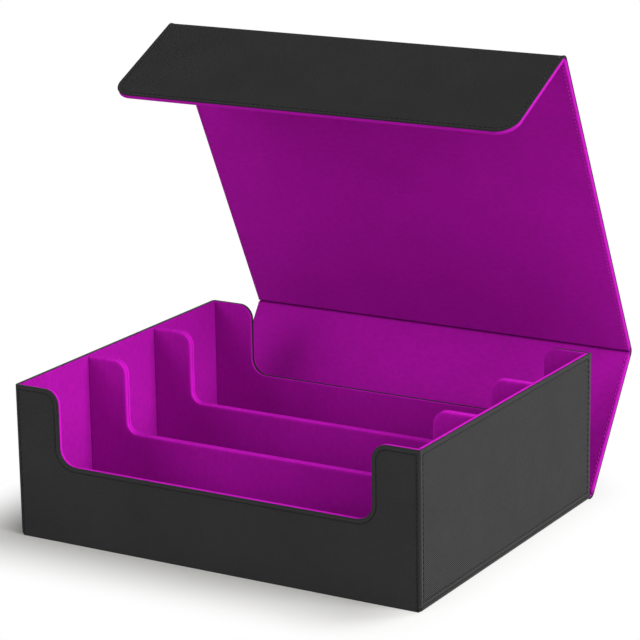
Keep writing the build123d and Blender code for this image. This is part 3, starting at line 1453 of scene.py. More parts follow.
@dataclass
class Finishes:
    """The looks that the pieces share."""

    tray_leather: Look
    cover_leather: Look
    lining: Look
    board: Look
    steel: Look
    black_thread: Look
    magenta_thread: Look

    @classmethod
    def build(cls) -> "Finishes":
        """Build every material once.

        Returns:
            The looks.
        """
        effects = SurfaceEffects()
        tray_leather = LeatherFinish("tray_leather", srgb(47, 47, 48), gloss=0.06)
        # Painted shade: the cover's leather is the same leather as the tray's, in a slightly darker colour
        # that dims the flap's face; its fainter grain is its own.
        cover_leather = LeatherFinish("cover_leather", srgb(45, 45, 46), relief=0.00025, rib_shade=0.25)
        black = ThreadFinish("black_thread", srgb(21, 21, 22), srgb(12, 12, 13), srgb(3, 3, 3))
        magenta = ThreadFinish("magenta_thread", srgb(214, 34, 200), srgb(160, 18, 152), srgb(70, 5, 70))
        return cls(
            tray_leather=Look(tray_leather.material(effects), Slot.LEATHER),
            cover_leather=Look(cover_leather.material(effects), Slot.LEATHER),
            lining=Look(LiningFinish().material(effects), Slot.LINING),
            board=Look(BoardFinish().material(effects), Slot.BOARD),
            steel=Look(SteelFinish().material(effects), Slot.STEEL),
            black_thread=Look(black.material(), Slot.LEATHER),
            magenta_thread=Look(magenta.material(), Slot.LINING),
        )


# Stitches


@dataclass(frozen=True)
class StitchSizes:
    """Sizes of a row of stitches, in millimetres.

    Attributes:
        pitch: distance from one stitch to the next.
        length: length of a stitch.
        width: thickness of the thread.
        slant: how far a stitch leans off the line, in degrees.
        hole: width of the needle hole at its end.
        proud: share of the thread's thickness by which its middle lies over the seam's floor.
    """

    pitch: float = 3.9
    length: float = 2.8
    width: float = 0.66
    slant: float = 7.0
    hole: float = 1.2
    proud: float = 0.3

    @property
    def over_floor(self) -> float:
        """How far the middle of the thread lies over the seam's floor."""
        return self.proud * self.width


class StitchTree:
    """Geometry nodes that lay stitches along lines.

    Attributes:
        hole_depth: depth of a needle hole, as a share of its width.
        tree: the tree.
    """

    hole_depth: float = 0.3

    def __init__(self) -> None:
        """Build the tree, with named inputs for the sizes and the thread."""
        sizes = dict.fromkeys(("Pitch", "Length", "Width", "Slant", "Hole", "Depth"), MM)
        shape = "NodeSocketGeometry"
        takes = {"Geometry": shape, **sizes, "Thread": "NodeSocketMaterial"}
        self.tree, board, given = new_group("stitches", "GeometryNodeTree", takes, {"Geometry": shape})
        line, pitch, length, width, slant, hole, depth, thread = given.outputs[:8]
        curve = board.add("GeometryNodeMeshToCurve", {0: line})
        spaced = board.add("GeometryNodeResampleCurve", {0: curve, "Length": pitch}, mode="LENGTH")
        ball = board.add("GeometryNodeMeshUVSphere", {"Segments": 8, "Rings": 6, "Radius": 0.5})
        size = board.add("ShaderNodeCombineXYZ", {0: length, 1: width, 2: width})
        shaped = board.add("GeometryNodeTransform", {"Geometry": ball, "Scale": size})
        # At each stitch's end, a flattened blob marked hole, which the thread's material paints as the shade
        # inside the needle hole.
        flattened = board.times(hole, self.hole_depth)
        opening = board.add("ShaderNodeCombineXYZ", {0: hole, 1: hole, 2: flattened})
        end = board.times(length, 0.5)
        needle = board.add("ShaderNodeCombineXYZ", {0: end, 2: board.times(depth, -1.0)})
        pierced = {"Geometry": ball, "Translation": needle, "Scale": opening}
        punched = board.add("GeometryNodeTransform", pierced)
        mark = {"Geometry": punched, "Name": "hole", "Value": 1.0}
        marked = board.add("GeometryNodeStoreNamedAttribute", mark)
        pair = board.add("GeometryNodeJoinGeometry")
        for part in (marked, shaped):
            self.tree.links.new(part.outputs[0], pair.inputs[0])
        smooth = board.add("GeometryNodeSetShadeSmooth", {0: pair})
        tangent = board.add("GeometryNodeInputTangent")
        along = board.add("FunctionNodeAlignRotationToVector", {"Vector": tangent}, axis="X")
        named = {"Name": "outward"}
        outward = board.add("GeometryNodeInputNamedAttribute", named, data_type="FLOAT_VECTOR")
        ways = {"Rotation": along, "Vector": outward}
        upright = board.add("FunctionNodeAlignRotationToVector", ways, axis="Z", pivot_axis="X")
        lean = board.add("ShaderNodeCombineXYZ", {2: slant})
        turned = {"Rotation": upright, "Rotate By": board.add("FunctionNodeEulerToRotation", {0: lean})}
        leaning = board.add("FunctionNodeRotateRotation", turned, rotation_space="LOCAL")
        stitches = {"Points": spaced, "Instance": smooth, "Rotation": leaning}
        placed = board.add("GeometryNodeInstanceOnPoints", stitches)
        real = board.add("GeometryNodeRealizeInstances", {0: placed})
        threaded = board.add("GeometryNodeSetMaterial", {"Geometry": real, "Material": thread})
        board.add("NodeGroupOutput", {0: threaded})

    def sew(self, name: str, seams: list[Seam], sizes: StitchSizes, thread: Look, body: Body) -> None:
        """Sew seams as one piece that moves with a body.

        Args:
            name: name of the piece.
            seams: the lines to sew.
            sizes: sizes of the stitches.
            thread: look of the thread.
            body: the body that it moves with.
        """
        places, edges, outward = [], [], []
        for seam in seams:
            start = len(places)
            places += seam.places
            outward += seam.outward
            edges += [(start + step, start + step + 1) for step in range(len(seam.places) - 1)]
        lines = bpy.data.meshes.new(name)
        lines.from_pydata(places, edges, [])
        directions = lines.attributes.new("outward", "FLOAT_VECTOR", "POINT")
        directions.data.foreach_set("vector", [part for direction in outward for part in direction])
        item = new_object(name, lines)
        modifier = item.modifiers.new("stitches", "NODES")
        modifier.node_group = self.tree
        values = {
            "Pitch": sizes.pitch * MM,
            "Length": sizes.length * MM,
            "Width": sizes.width * MM,
            "Slant": radians(sizes.slant),
            "Hole": sizes.hole * MM,
            "Depth": sizes.over_floor * MM,
            "Thread": thread.material,
        }
        for socket in self.tree.interface.items_tree:
            if socket.item_type == "SOCKET" and socket.in_out == "INPUT" and socket.name in values:
                modifier[socket.identifier] = values[socket.name]
        item.update_tag()
        depsgraph = bpy.context.evaluated_depsgraph_get()
        sewn = bpy.data.meshes.new_from_object(item.evaluated_get(depsgraph), depsgraph=depsgraph)
        item.modifiers.remove(modifier)
        item.data = sewn
        bpy.data.meshes.remove(lines)
        sewn.name = name
        dress(item, thread)
        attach(item, body.value)
        log.info("%s: %d seams, %d faces", name, len(seams), len(sewn.polygons))


# The tray


@dataclass
class Tray:
    """The tray with its leather, its lining and its base.

    Attributes:
        sizes: sizes of the box.
        finishes: its materials.
        groove: the valley of its seams.
        stitches: sizes of its stitches.
        lips: how far each wall's leather goes in over its board.
        leather_roll: radius of its outer edge.
        base_roll: radius of the base's lower edge.
        lining_roll: radius of the lining's turned edge.
        full_highlight_width: bare width of lining on top of a wall at which its edge gets the full painted
            highlight.
        divider_gap: gap between a divider's end and the wall, and between two linings in a corner.
        divider_roll: radius of a divider's soft edge.
        divider_bevel: size of the notch where a divider's two linings meet.
        back_seam_lead: how much further from the box's corner the side walls' rear seams lie.
        highlight_share: share of a corner's turn at which the painted corner highlight is strongest.
    """

    sizes: BoxSizes
    finishes: Finishes
    groove: Groove = field(default_factory=Groove)
    stitches: StitchSizes = field(default_factory=StitchSizes)
    lips: dict[Wall, float] = field(
        default_factory=lambda: {Wall.FRONT: 1.0, Wall.BACK: 1.8, Wall.RIGHT: 1.0, Wall.LEFT: 1.8}
    )
    leather_roll: float = 0.6
    base_roll: float = 2.8
    lining_roll: float = 0.6
    full_highlight_width: float = 1.2
    divider_gap: float = 0.5
    divider_roll: float = 1.15
    divider_bevel: float = 0.4
    back_seam_lead: float = 2.4
    highlight_share: float = 0.8

    def wall_leather_section(self, wall: Wall) -> list[Ring]:
        """Section of a wall's leather."""
        box = self.sizes
        return wall_section(box.leather, box.lining, self.lips[wall], self.leather_roll, self.groove)

    def wall_lining_section(self, wall: Wall) -> list[Ring]:
        """Section of a wall's lining, which starts where the leather's lip ends; the more of the board's top
        it leaves bare, the more painted highlight its edge gets.

        Args:
            wall: the wall.

        Returns:
            The rings.
        """
        box = self.sizes
        lip = self.lips[wall]
        edge_highlight = (box.wall_board - self.lining_roll - lip) / self.full_highlight_width
        return lining_section(box.wall_board, box.lining, self.lining_roll, self.lining_roll, edge_highlight, lip)

    def seams(self, sheet: Sheet) -> list[Seam]:
        """Seams along the free sides of a sheet of the tray's leather."""
        return sheet.seams(self.groove, self.groove.floor(self.sizes.leather) + self.stitches.over_floor)

    def notched(
        self, half: float, foot: float, top: float, radii: Flat, ends: Corner | None = None,
        sill_turned: bool = True,
    ) -> Pattern:
        """Outline of a wall with the wide cut-out.

        Args:
            half: half its width.
            foot: its lower edge.
            top: its upper edge.
            radii: rounding of the posts and of the cut-out's lower corners.
            ends: how its two upright ends behave, or None where they are cut.
            sill_turned: whether the leather turns in over the sill.

        Returns:
            The pattern.
        """
        box = self.sizes
        post, hollow = radii
        end = ends or Corner(0, 0, free=False)
        return Pattern(
            (
                Corner(-half, foot, free=False),
                replace(end, across=half, up=foot),
                Corner(half, top),
                Corner(box.cutout_half, top, post),
                Corner(box.cutout_half, box.cutout_sill, hollow, turned=sill_turned),
                Corner(-box.cutout_half, box.cutout_sill, hollow),
                Corner(-box.cutout_half, top, post),
                replace(end, across=-half, up=top),
            )
        )

    def wall_leathers(self) -> list[Seam]:
        """Build the leather of the front and back walls.

        Returns:
            Their seams.
        """
        box = self.sizes
        seams = []
        half = box.half_width - box.corner
        radii = (box.post_radius, box.hollow_radius)
        ends = Corner(0, 0, turned=False, holds=box.corner, lead=-box.corner)
        for wall, foot in ((Wall.FRONT, box.front_foot), (Wall.BACK, box.skirt_foot)):
            pattern = self.notched(half, foot, box.height, radii, ends, sill_turned=wall is Wall.BACK)
            start = Vector((0, wall.side * box.half_depth, 0))
            lay = Lay(start, Vector((-wall.side, 0, 0)), Vector((0, wall.side, 0)), level=box.leather)
            sheet = Sheet(pattern, self.wall_leather_section(wall), lay)
            item = sheet.build(f"{wall.value}_wall_leather")
            install(item, f"{wall.value}_leather", self.finishes.tray_leather, Body.TRAY)
            seams += self.seams(sheet)
        return seams

    def side_leathers(self) -> list[Seam]:
        """Build the leather of the side walls, which goes round the corners.

        Returns:
            Their seams.
        """
        box = self.sizes
        seams = []
        turn = Leg.turn(box.corner, QUARTER_TURN)
        straight = Leg(2 * (box.half_depth - box.corner))
        length = 2 * turn.length + straight.length
        corner_highlight = (turn.length * self.highlight_share, length - turn.length * self.highlight_share)
        end = Corner(0, 0, turned=False, holds=self.leather_roll, lead=turn.length - box.corner)
        back_end = replace(end, lead=end.lead + self.back_seam_lead)
        for wall in (Wall.RIGHT, Wall.LEFT):
            side = wall.side
            first, last = (end, back_end) if wall is Wall.RIGHT else (back_end, end)
            pattern = Pattern(
                (
                    Corner(0, box.skirt_foot, turned=False),
                    replace(last, across=length, up=box.skirt_foot),
                    Corner(length, box.height),
                    replace(first, up=box.height),
                )
            )
            start = Vector((side * (box.half_width - box.corner), -side * box.half_depth, 0))
            legs = (turn, straight, turn)
            lay = Lay(start, Vector((side, 0, 0)), Vector((0, -side, 0)), legs, level=box.leather)
            sheet = Sheet(pattern, self.wall_leather_section(wall), lay, corner_highlight=corner_highlight)
            item = sheet.build(f"{wall.value}_wall_leather")
            install(item, f"{wall.value}_leather", self.finishes.tray_leather, Body.TRAY)
            seams += self.seams(sheet)
        return seams

    def base_leather(self) -> None:
        """Build the leather under the tray, which turns up at the sides of the base board."""
        box = self.sizes
        pattern = Pattern(
            (
                Corner(-box.half_width, -box.base_end, free=False),
                Corner(box.half_width, -box.base_end),
                Corner(box.half_width, box.half_depth, box.corner, turned=False),
                Corner(-box.half_width, box.half_depth, box.corner),
            )
        )
        lay = Lay(Vector((0, 0, 0)), Vector((1, 0, 0)), Vector((0, 0, -1)), level=box.leather)
        section = base_section(box.leather, box.base_top - box.leather, self.base_roll)
        item = Sheet(pattern, section, lay).build("base_leather_sheet")
        install(item, "base_leather", self.finishes.tray_leather, Body.TRAY)

    def wall_linings(self) -> None:
        """Build the lining of the four walls, turned over the boards' edges."""
        box = self.sizes
        board_y = box.half_depth - box.leather
        half = box.half_width - box.corner
        radii = (box.post_radius, box.hollow_radius)
        for wall in (Wall.FRONT, Wall.BACK):
            side = wall.side
            pattern = self.notched(half, box.lining_foot, box.height, radii, sill_turned=wall is Wall.BACK)
            lay = Lay(Vector((0, side * board_y, 0)), Vector((side, 0, 0)), Vector((0, -side, 0)))
            item = Sheet(pattern, self.wall_lining_section(wall), lay).build(f"{wall.value}_wall_lining")
            install(item, f"{wall.value}_lining", self.finishes.lining, Body.TRAY)
        reach = board_y - box.wall_board - box.lining - self.divider_gap
        low, high = (-reach, box.lining_foot), (reach, box.height)
        pattern = Pattern.rectangle(low, high, (False, False, True, False))
        for wall in (Wall.RIGHT, Wall.LEFT):
            side = wall.side
            start = Vector((side * (box.half_width - box.leather), 0, 0))
            lay = Lay(start, Vector((0, -side, 0)), Vector((-side, 0, 0)))
            sheet = Sheet(pattern, self.wall_lining_section(wall), lay)
            item = sheet.build(f"{wall.value}_wall_lining", self.corner_caps(wall))
            install(item, f"{wall.value}_lining", self.finishes.lining, Body.TRAY)

    def corner_caps(self, wall: Wall) -> BMesh:
        """Lining on the tops of a side board's two corners.

        Args:
            wall: the right or the left wall.

        Returns:
            Both caps in one mesh, in metres.
        """
        box = self.sizes
        covered = box.leather + self.lips[wall]
        low = (box.half_width - box.corner, box.half_depth - box.leather - box.wall_board - box.lining)
        high = (box.half_width - covered, box.half_depth - covered)
        round_off = box.corner - covered
        lay = Lay(Vector((0, 0, box.height - box.lining)), Vector((1, 0, 0)), Vector((0, 0, 1)))
        # Painted highlight: the caps carry the lining's full edge highlight.
        rings = [Ring(0, 0, edge=1.0), Ring(0, box.lining, edge=1.0)]
        joined = bmesh.new()
        for end in (-1, 1):
            places = [(*low, 0.0), (high[0], low[1], 0.0), (*high, round_off), (low[0], high[1], 0.0)]
            corners = tuple(Corner(wall.side * x, end * y, radius, free=False) for x, y, radius in places)
            pattern = Pattern(corners if wall.side * end > 0 else corners[::-1])
            join_mesh(joined, Sheet(pattern, rings, lay).laid())
        return joined

    def floor_lining(self) -> None:
        """Build the lining on the floor."""
        low, high = node_box("floor_lining")
        pattern = Pattern.rectangle(tuple(low.xy), tuple(high.xy))
        lay = Lay(Vector((0, 0, low.z)), Vector((1, 0, 0)), Vector((0, 0, 1)))
        item = Sheet(pattern, [Ring(0, 0), Ring(0, high.z - low.z)], lay).build("floor_lining_sheet")
        install(item, "floor_lining", self.finishes.lining, Body.TRAY)

    def dividers(self) -> None:
        """Build the two linings of each divider."""
        box = self.sizes
        half_width = node_box("floor_lining")[1].x - self.divider_gap
        half = box.divider_half
        section = divider_section(half - box.lining, half, box.lining, self.divider_roll, self.divider_bevel)
        radii = (box.divider_post_radius, box.divider_hollow_radius)
        pattern = self.notched(half_width, box.floor_top, box.divider_top, radii)
        for name, middle in zip(("front", "rear"), box.divider_middles):
            for face, side in (("front", -1), ("rear", 1)):
                lay = Lay(Vector((0, middle, 0)), Vector((-side, 0, 0)), Vector((0, side, 0)))
                item = Sheet(pattern, section, lay).build(f"{name}_divider_{face}_cloth")
                install(item, f"{name}_divider_{face}_lining", self.finishes.lining, Body.TRAY)

    def build(self, stitching: StitchTree) -> None:
        """Build the tray and sew it.

        Args:
            stitching: lays the stitches.
        """
        seams = self.wall_leathers() + self.side_leathers()
        self.base_leather()
        self.wall_linings()
        self.floor_lining()
        self.dividers()
        stitching.sew("tray_stitches", seams, self.stitches, self.finishes.black_thread, Body.TRAY)


# The cover


def side_direction(angle: float) -> Vector:
    """Direction in the side view at an angle back from straight up."""
    return Vector((0, sin(angle), cos(angle)))


def side_outward(angle: float) -> Vector:
    """Direction out of the leather of a panel at an angle back from straight up."""
    return Vector((0, cos(angle), -sin(angle)))


@dataclass(frozen=True)
class Panel:
    """One stiff panel of the cover and the fold in front of it.

    Attributes:
        body: the body that it moves with.
        before: the body in front of its fold.
        axis: the fold axis in front of it.
        angle_before: direction of what is in front of the fold, in radians back from straight up.
        angle: its own direction.
        length: from its fold axis to its end, or to where the next fold starts.
        corner: rounding of its far corners, and none where it ends at a fold.
    """

    body: Body
    before: Body
    axis: Vector
    angle_before: float
    angle: float
    length: float
    corner: float = 0.0

    @property
    def along(self) -> Vector:
        """Direction from the fold to the far end."""
        return side_direction(self.angle)

    @property
    def outward(self) -> Vector:
        """Direction out of its leather."""
        return side_outward(self.angle)

    @property
    def turn(self) -> float:
        """Angle of its fold, in radians."""
        return self.angle_before - self.angle

    @property
    def middle_angle(self) -> float:
        """Direction halfway round its fold."""
        return (self.angle_before + self.angle) / 2


# The face of a lining tucked into a fold, from the panel inward: share of the way out from the fold axis, and
# share of the swing from the fold's middle.
FIRST_TUCK = ((1.0, 1.0), (0.955, 0.86), (0.87, 0.7), (0.77, 0.57))
TUCK = (*FIRST_TUCK, (0.66, 0.46), (0.55, 0.34), (0.47, 0.18), (0.45, 0.0))


@dataclass
class Cover:
    """The cover: three panels, and the folds between the tray and the flap.

    Attributes:
        sizes: sizes of the box.
        finishes: its materials.
        groove: the valley of the seams outside.
        lining_groove: the valley of the seams inside.
        leather_stitches: sizes of the stitches outside.
        lining_stitches: sizes of the stitches inside.
        crown: how far its leather stands proud beside the seams.
        margin: how far the leather reaches out past the lining.
        lining_roll: how high and how wide the lining's round edge is.
        corner_steps: straight pieces in a rounded corner.
        fold_steps: straight pieces in a fold.
        doubled: how far the leather is doubled at the ends of a fold.
        bump: how far it stands proud there.
        tuck_gap: gap between the first fold's lining and the tray.
        tuck_inset: how much further in than the panels' lining a fold's lining ends.
        tuck_end: length of the strip of faces at its ends.
        tuck_shade: how far out from the fold's bottom its painted shade reaches, as a share.
    """

    sizes: BoxSizes
    finishes: Finishes
    groove: Groove = field(default_factory=Groove)
    lining_groove: Groove = field(default_factory=lambda: Groove(2.0, 0.18, 0.55, 0.1, shade=0.35))
    leather_stitches: StitchSizes = field(default_factory=StitchSizes)
    lining_stitches: StitchSizes = field(default_factory=lambda: StitchSizes(3.2, 2.4, 0.65, hole=0.5))
    crown: float = 0.12
    margin: float = 0.25
    lining_roll: Flat = (0.9, 1.25)
    corner_steps: int = 16
    fold_steps: int = 20
    doubled: float = 6.0
    bump: float = 0.35
    tuck_gap: float = 0.05
    tuck_inset: float = 0.25
    tuck_end: float = 1.0
    tuck_shade: float = 0.5

    def panels(self) -> list[Panel]:
        """Work out the three panels from the fold axes.

        Returns:
            The spine, the lid and the flap.
        """
        box = self.sizes
        spine_axis, lid_axis, flap_axis = box.fold_axes
        spine_way = lid_axis - spine_axis
        lid_way = flap_axis - lid_axis
        spine_angle = atan2(spine_way.y, spine_way.z)
        lid_angle = atan2(lid_way.y, lid_way.z)
        flap_angle = lid_angle - radians(box.flap_turn)
        spine_length = spine_way.length - box.fold_half
        lid_length = lid_way.length - box.fold_half
        edge = flap_axis - side_outward(flap_angle) * (box.leather / 2)
        flap_length = (box.flap_tip - edge.z) / side_direction(flap_angle).z
        return [
            Panel(Body.SPINE, Body.TRAY, spine_axis, QUARTER_TURN, spine_angle, spine_length),
            Panel(Body.LID, Body.SPINE, lid_axis, spine_angle, lid_angle, lid_length),
            Panel(Body.FLAP, Body.LID, flap_axis, lid_angle, flap_angle, flap_length, box.flap_corner),
        ]

    def outline(self, panel: Panel, margin: float = 0.0) -> Pattern:
        """Outline of a panel, its first direction away from the fold.

        Args:
            panel: the panel.
            margin: how much smaller it is at its free sides.

        Returns:
            The pattern.
        """
        half = self.sizes.half_width - margin
        near, far, rounding = self.sizes.fold_half, panel.length, panel.corner
        if rounding:
            far, rounding = far - margin, rounding - margin
        return Pattern(
            (
                Corner(near, -half),
                Corner(far, -half, rounding, free=bool(rounding)),
                Corner(far, half, rounding),
                Corner(near, half, free=False),
            ),
            arc_steps=self.corner_steps,
        )

    def panel_leather(self, panel: Panel) -> list[Seam]:
        """Build the leather of a panel.

        Args:
            panel: the panel.

        Returns:
            Its seams.
        """
        leather = self.sizes.leather
        name = panel.body.value
        lay = Lay(panel.axis, panel.along, panel.outward, level=leather / 2)
        sheet = Sheet(self.outline(panel), leather_section(leather, self.groove, self.crown), lay)
        item = sheet.build(f"{name}_leather_sheet")
        install(item, f"{name}_leather", self.finishes.cover_leather, panel.body)
        return sheet.seams(self.groove, self.groove.floor(leather) + self.leather_stitches.over_floor)

    def panel_lining(self, panel: Panel) -> list[Seam]:
        """Build the lining of a panel, turned over its board's side edges.

        Args:
            panel: the panel.

        Returns:
            Its seams.
        """
        box = self.sizes
        groove = self.lining_groove
        name = panel.body.value
        lay = Lay(panel.axis - panel.outward * (box.leather / 2), panel.along, -panel.outward)
        section = lining_section(box.cover_board, box.lining, *self.lining_roll, edge_highlight=0.0, groove=groove)
        sheet = Sheet(self.outline(panel, self.margin), section, lay)
        item = sheet.build(f"{name}_lining_sheet")
        install(item, f"{name}_lining", self.finishes.lining, panel.body)
        face = box.cover_board + box.lining
        return sheet.seams(groove, groove.floor(face) + self.lining_stitches.over_floor)

    def fold_leather(self, panel: Panel) -> None:
        """Build the leather round the fold in front of a panel.

        Args:
            panel: the panel behind the fold.
        """
        box = self.sizes
        heading, outward = side_direction(panel.angle_before), side_outward(panel.angle_before)
        start = panel.axis - heading * box.fold_half
        leg = Leg.turn(box.fold_half / tan(panel.turn / 2), panel.turn)
        lay = Lay(start, heading, outward, (leg,), level=box.leather / 2, turn_steps=self.fold_steps)
        half = box.half_width
        pattern = Pattern.rectangle((0, -half), (leg.length, half), (True, False, True, False))

        def swell(along: float, across: float, height: float) -> float:
            """Raise the outside of the fold near its two ends, where the leather is doubled.

            Args:
                along: place round the fold.
                across: place along it.
                height: height in the sheet.

            Returns:
                The raised height.
            """
            middle = sin(HALF_TURN * min(max(along / leg.length, 0.0), 1.0)) ** 2
            near_end = min(max((self.doubled - (half - abs(across))) / self.doubled, 0.0), 1.0)
            return height + self.bump * middle * sin(QUARTER_TURN * near_end) ** 2 * height / box.leather

        sheet = Sheet(pattern, leather_section(box.leather, self.groove, self.crown), lay, swell)
        name = f"{panel.body.value}_fold_leather"
        item = sheet.build(f"{name}_strip")
        self.install_fold(item, name, self.finishes.cover_leather, panel)

    def install_fold(
        self, item: Object, node: str, look: Look, panel: Panel
    ) -> None:
        """Dress a strip that crosses a fold and put it in the place of a node of the frame.

        Args:
            item: the strip.
            node: the node that it stands for.
            look: its look.
            panel: the panel behind the fold.
        """
        dress(item, look)
        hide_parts(node)
        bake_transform(item)
        log.info("%s: turn %.1f degrees", item.name, degrees(panel.turn))

    def beside_fold(self, panel: Panel, sign: int, height: float) -> Vector:
        """A place at the end of a fold.

        Args:
            panel: the panel behind the fold.
            sign: -1 for the end in front of the fold, 1 for the one on the panel behind it.
            height: how far in from the fold axis it lies.

        Returns:
            The place, in the side view.
        """
        angle = panel.angle_before if sign < 0 else panel.angle
        reach = sign * self.sizes.fold_half
        return panel.axis + side_direction(angle) * reach - side_outward(angle) * height

    def tuck_face(self, panel: Panel) -> list[tuple[Vector, float]]:
        """Face of the lining tucked into a fold, in the side view.

        Args:
            panel: the panel behind the fold.

        Returns:
            Its places, from what is in front of the fold to the panel, and how much painted shade each gets,
            1 at the fold's bottom.
        """
        box = self.sizes
        rise = box.leather / 2 + box.cover_board + box.lining
        first_rise = rise if panel.before is not Body.TRAY else rise - box.lining - self.tuck_gap
        inward = -side_outward(panel.middle_angle)
        across = side_direction(panel.middle_angle)
        bottom = TUCK[-1][0]
        places = []
        for sign, height in ((-1, first_rise), (1, rise)):
            away = self.beside_fold(panel, sign, height) - panel.axis
            far, swing = away.length, atan2(away.dot(across), away.dot(inward))
            half = []
            for share, turn in TUCK:
                angle = swing * turn
                place = panel.axis + (inward * cos(angle) + across * sin(angle)) * far * share
                half.append((place, max(0.0, 1.0 - (share - bottom) / self.tuck_shade)))
            places += half if sign < 0 else half[-2::-1]
        return places

    def tuck_back(self, panel: Panel) -> list[Vector]:
        """Back of the lining tucked into a fold, which lies on the leather.

        Args:
            panel: the panel behind the fold.

        Returns:
            Its places in the side view, from the panel to what is in front of the fold.
        """
        box = self.sizes
        level = box.leather / 2
        outward = side_outward(panel.middle_angle)
        radius = box.fold_half / tan(panel.turn / 2)
        centre = panel.axis - outward * (radius / cos(panel.turn / 2))
        middle = centre + outward * (radius - level)
        return [self.beside_fold(panel, 1, level), middle, self.beside_fold(panel, -1, level)]

    def fold_lining(self, panel: Panel) -> None:
        """Build the lining tucked into the fold in front of a panel.

        Args:
            panel: the panel behind the fold.
        """
        face = self.tuck_face(panel)
        # The tucked face gets painted shade deepest in the fold; the back on the leather is fully shaded.
        section = face + [(place, 1.0) for place in self.tuck_back(panel)]
        half_width = self.sizes.half_width - self.margin - self.tuck_inset
        near = half_width - self.tuck_end
        mesh = bmesh.new()
        zone = mesh.verts.layers.float_vector.new("zone")
        cloth = mesh.loops.layers.uv.new("pattern")
        rows = []
        for station in (-half_width, -near, near, half_width):
            row = [mesh.verts.new(Vector((station, place.y, place.z)) * MM) for place, _ in section]
            for vert, (_, depth) in zip(row, section):
                vert[zone] = Vector((0.0, 0.0, depth))
            rows.append(row)
        for first, second in zip(rows, rows[1:]):
            for number in range(len(section)):
                mesh.faces.new([first[number], first[number - 1], second[number - 1], second[number]])
        mesh.faces.new(rows[0])
        mesh.faces.new(rows[-1][::-1])
        for part in mesh.faces:
            for loop in part.loops:
                loop[cloth].uv = (loop.vert.co.z + loop.vert.co.y, loop.vert.co.x)
        name = f"{panel.body.value}_fold_lining"
        item = finish_mesh(mesh, f"{name}_strip", sharp=50.0)
        self.install_fold(item, name, self.finishes.lining, panel)

    def build(self, stitching: StitchTree) -> None:
        """Build the cover and sew it.

        Args:
            stitching: lays the stitches.
        """
        black, magenta = self.finishes.black_thread, self.finishes.magenta_thread
        for panel in self.panels():
            outside = self.panel_leather(panel)
            inside = self.panel_lining(panel)
            self.fold_leather(panel)
            self.fold_lining(panel)
            body = panel.body
            outer, inner = f"{body.value}_outer_stitches", f"{body.value}_inner_stitches"
            stitching.sew(outer, outside, self.leather_stitches, black, body)
            stitching.sew(inner, inside, self.lining_stitches, magenta, body)


def dress_hidden_nodes(finishes: Finishes) -> None:
    """Give the boards and the magnets, which the sheets enclose, their materials.

    Args:
        finishes: the materials.
    """
    for name, item in frame["nodes"].items():
        if name.endswith("_board"):
            dress(item, finishes.board)
        elif name.endswith("_magnets"):
            dress(item, finishes.steel)


# The studio


@dataclass(frozen=True)
class Lamp:
    """A far, soft lamp.

    Attributes:
        name: name of the lamp.
        toward: direction from the object to the lamp.
        strength: its strength.
        spread: its width in degrees.
    """

    name: str
    toward: tuple[float, float, float]
    strength: float
    spread: float = 35.0

    def build(self) -> None:
        """Hang the lamp."""
        data = bpy.data.lights.new(self.name, "SUN")
        data.energy = self.strength
        data.angle = radians(self.spread)
        item = new_object(self.name, data)
        item.rotation_euler = Vector(self.toward).to_track_quat("Z", "Y").to_euler()


LAMPS = (
    Lamp("right_window", (1.0, 0.0, 0.45), 2.45),
    Lamp("rear_window", (0.5, 0.87, 0.6), 2.25),
    Lamp("front_fill", (-0.5, -0.87, 0.5), 0.98),
    Lamp("side_fill", (0.87, -0.5, 0.45), 0.88),
)


def sees_background(board: NodeBoard) -> NodeSocket:
    """Mask of the rays that the white background is for: the camera's, and those in glass and gloss.

    Args:
        board: where its nodes are placed.

    Returns:
        The mask.
    """
    rays = board.add("ShaderNodeLightPath").outputs
    seen = board.math("MAXIMUM", rays["Is Camera Ray"], rays["Is Transmission Ray"])
    return board.math("MAXIMUM", seen, rays["Is Glossy Ray"])


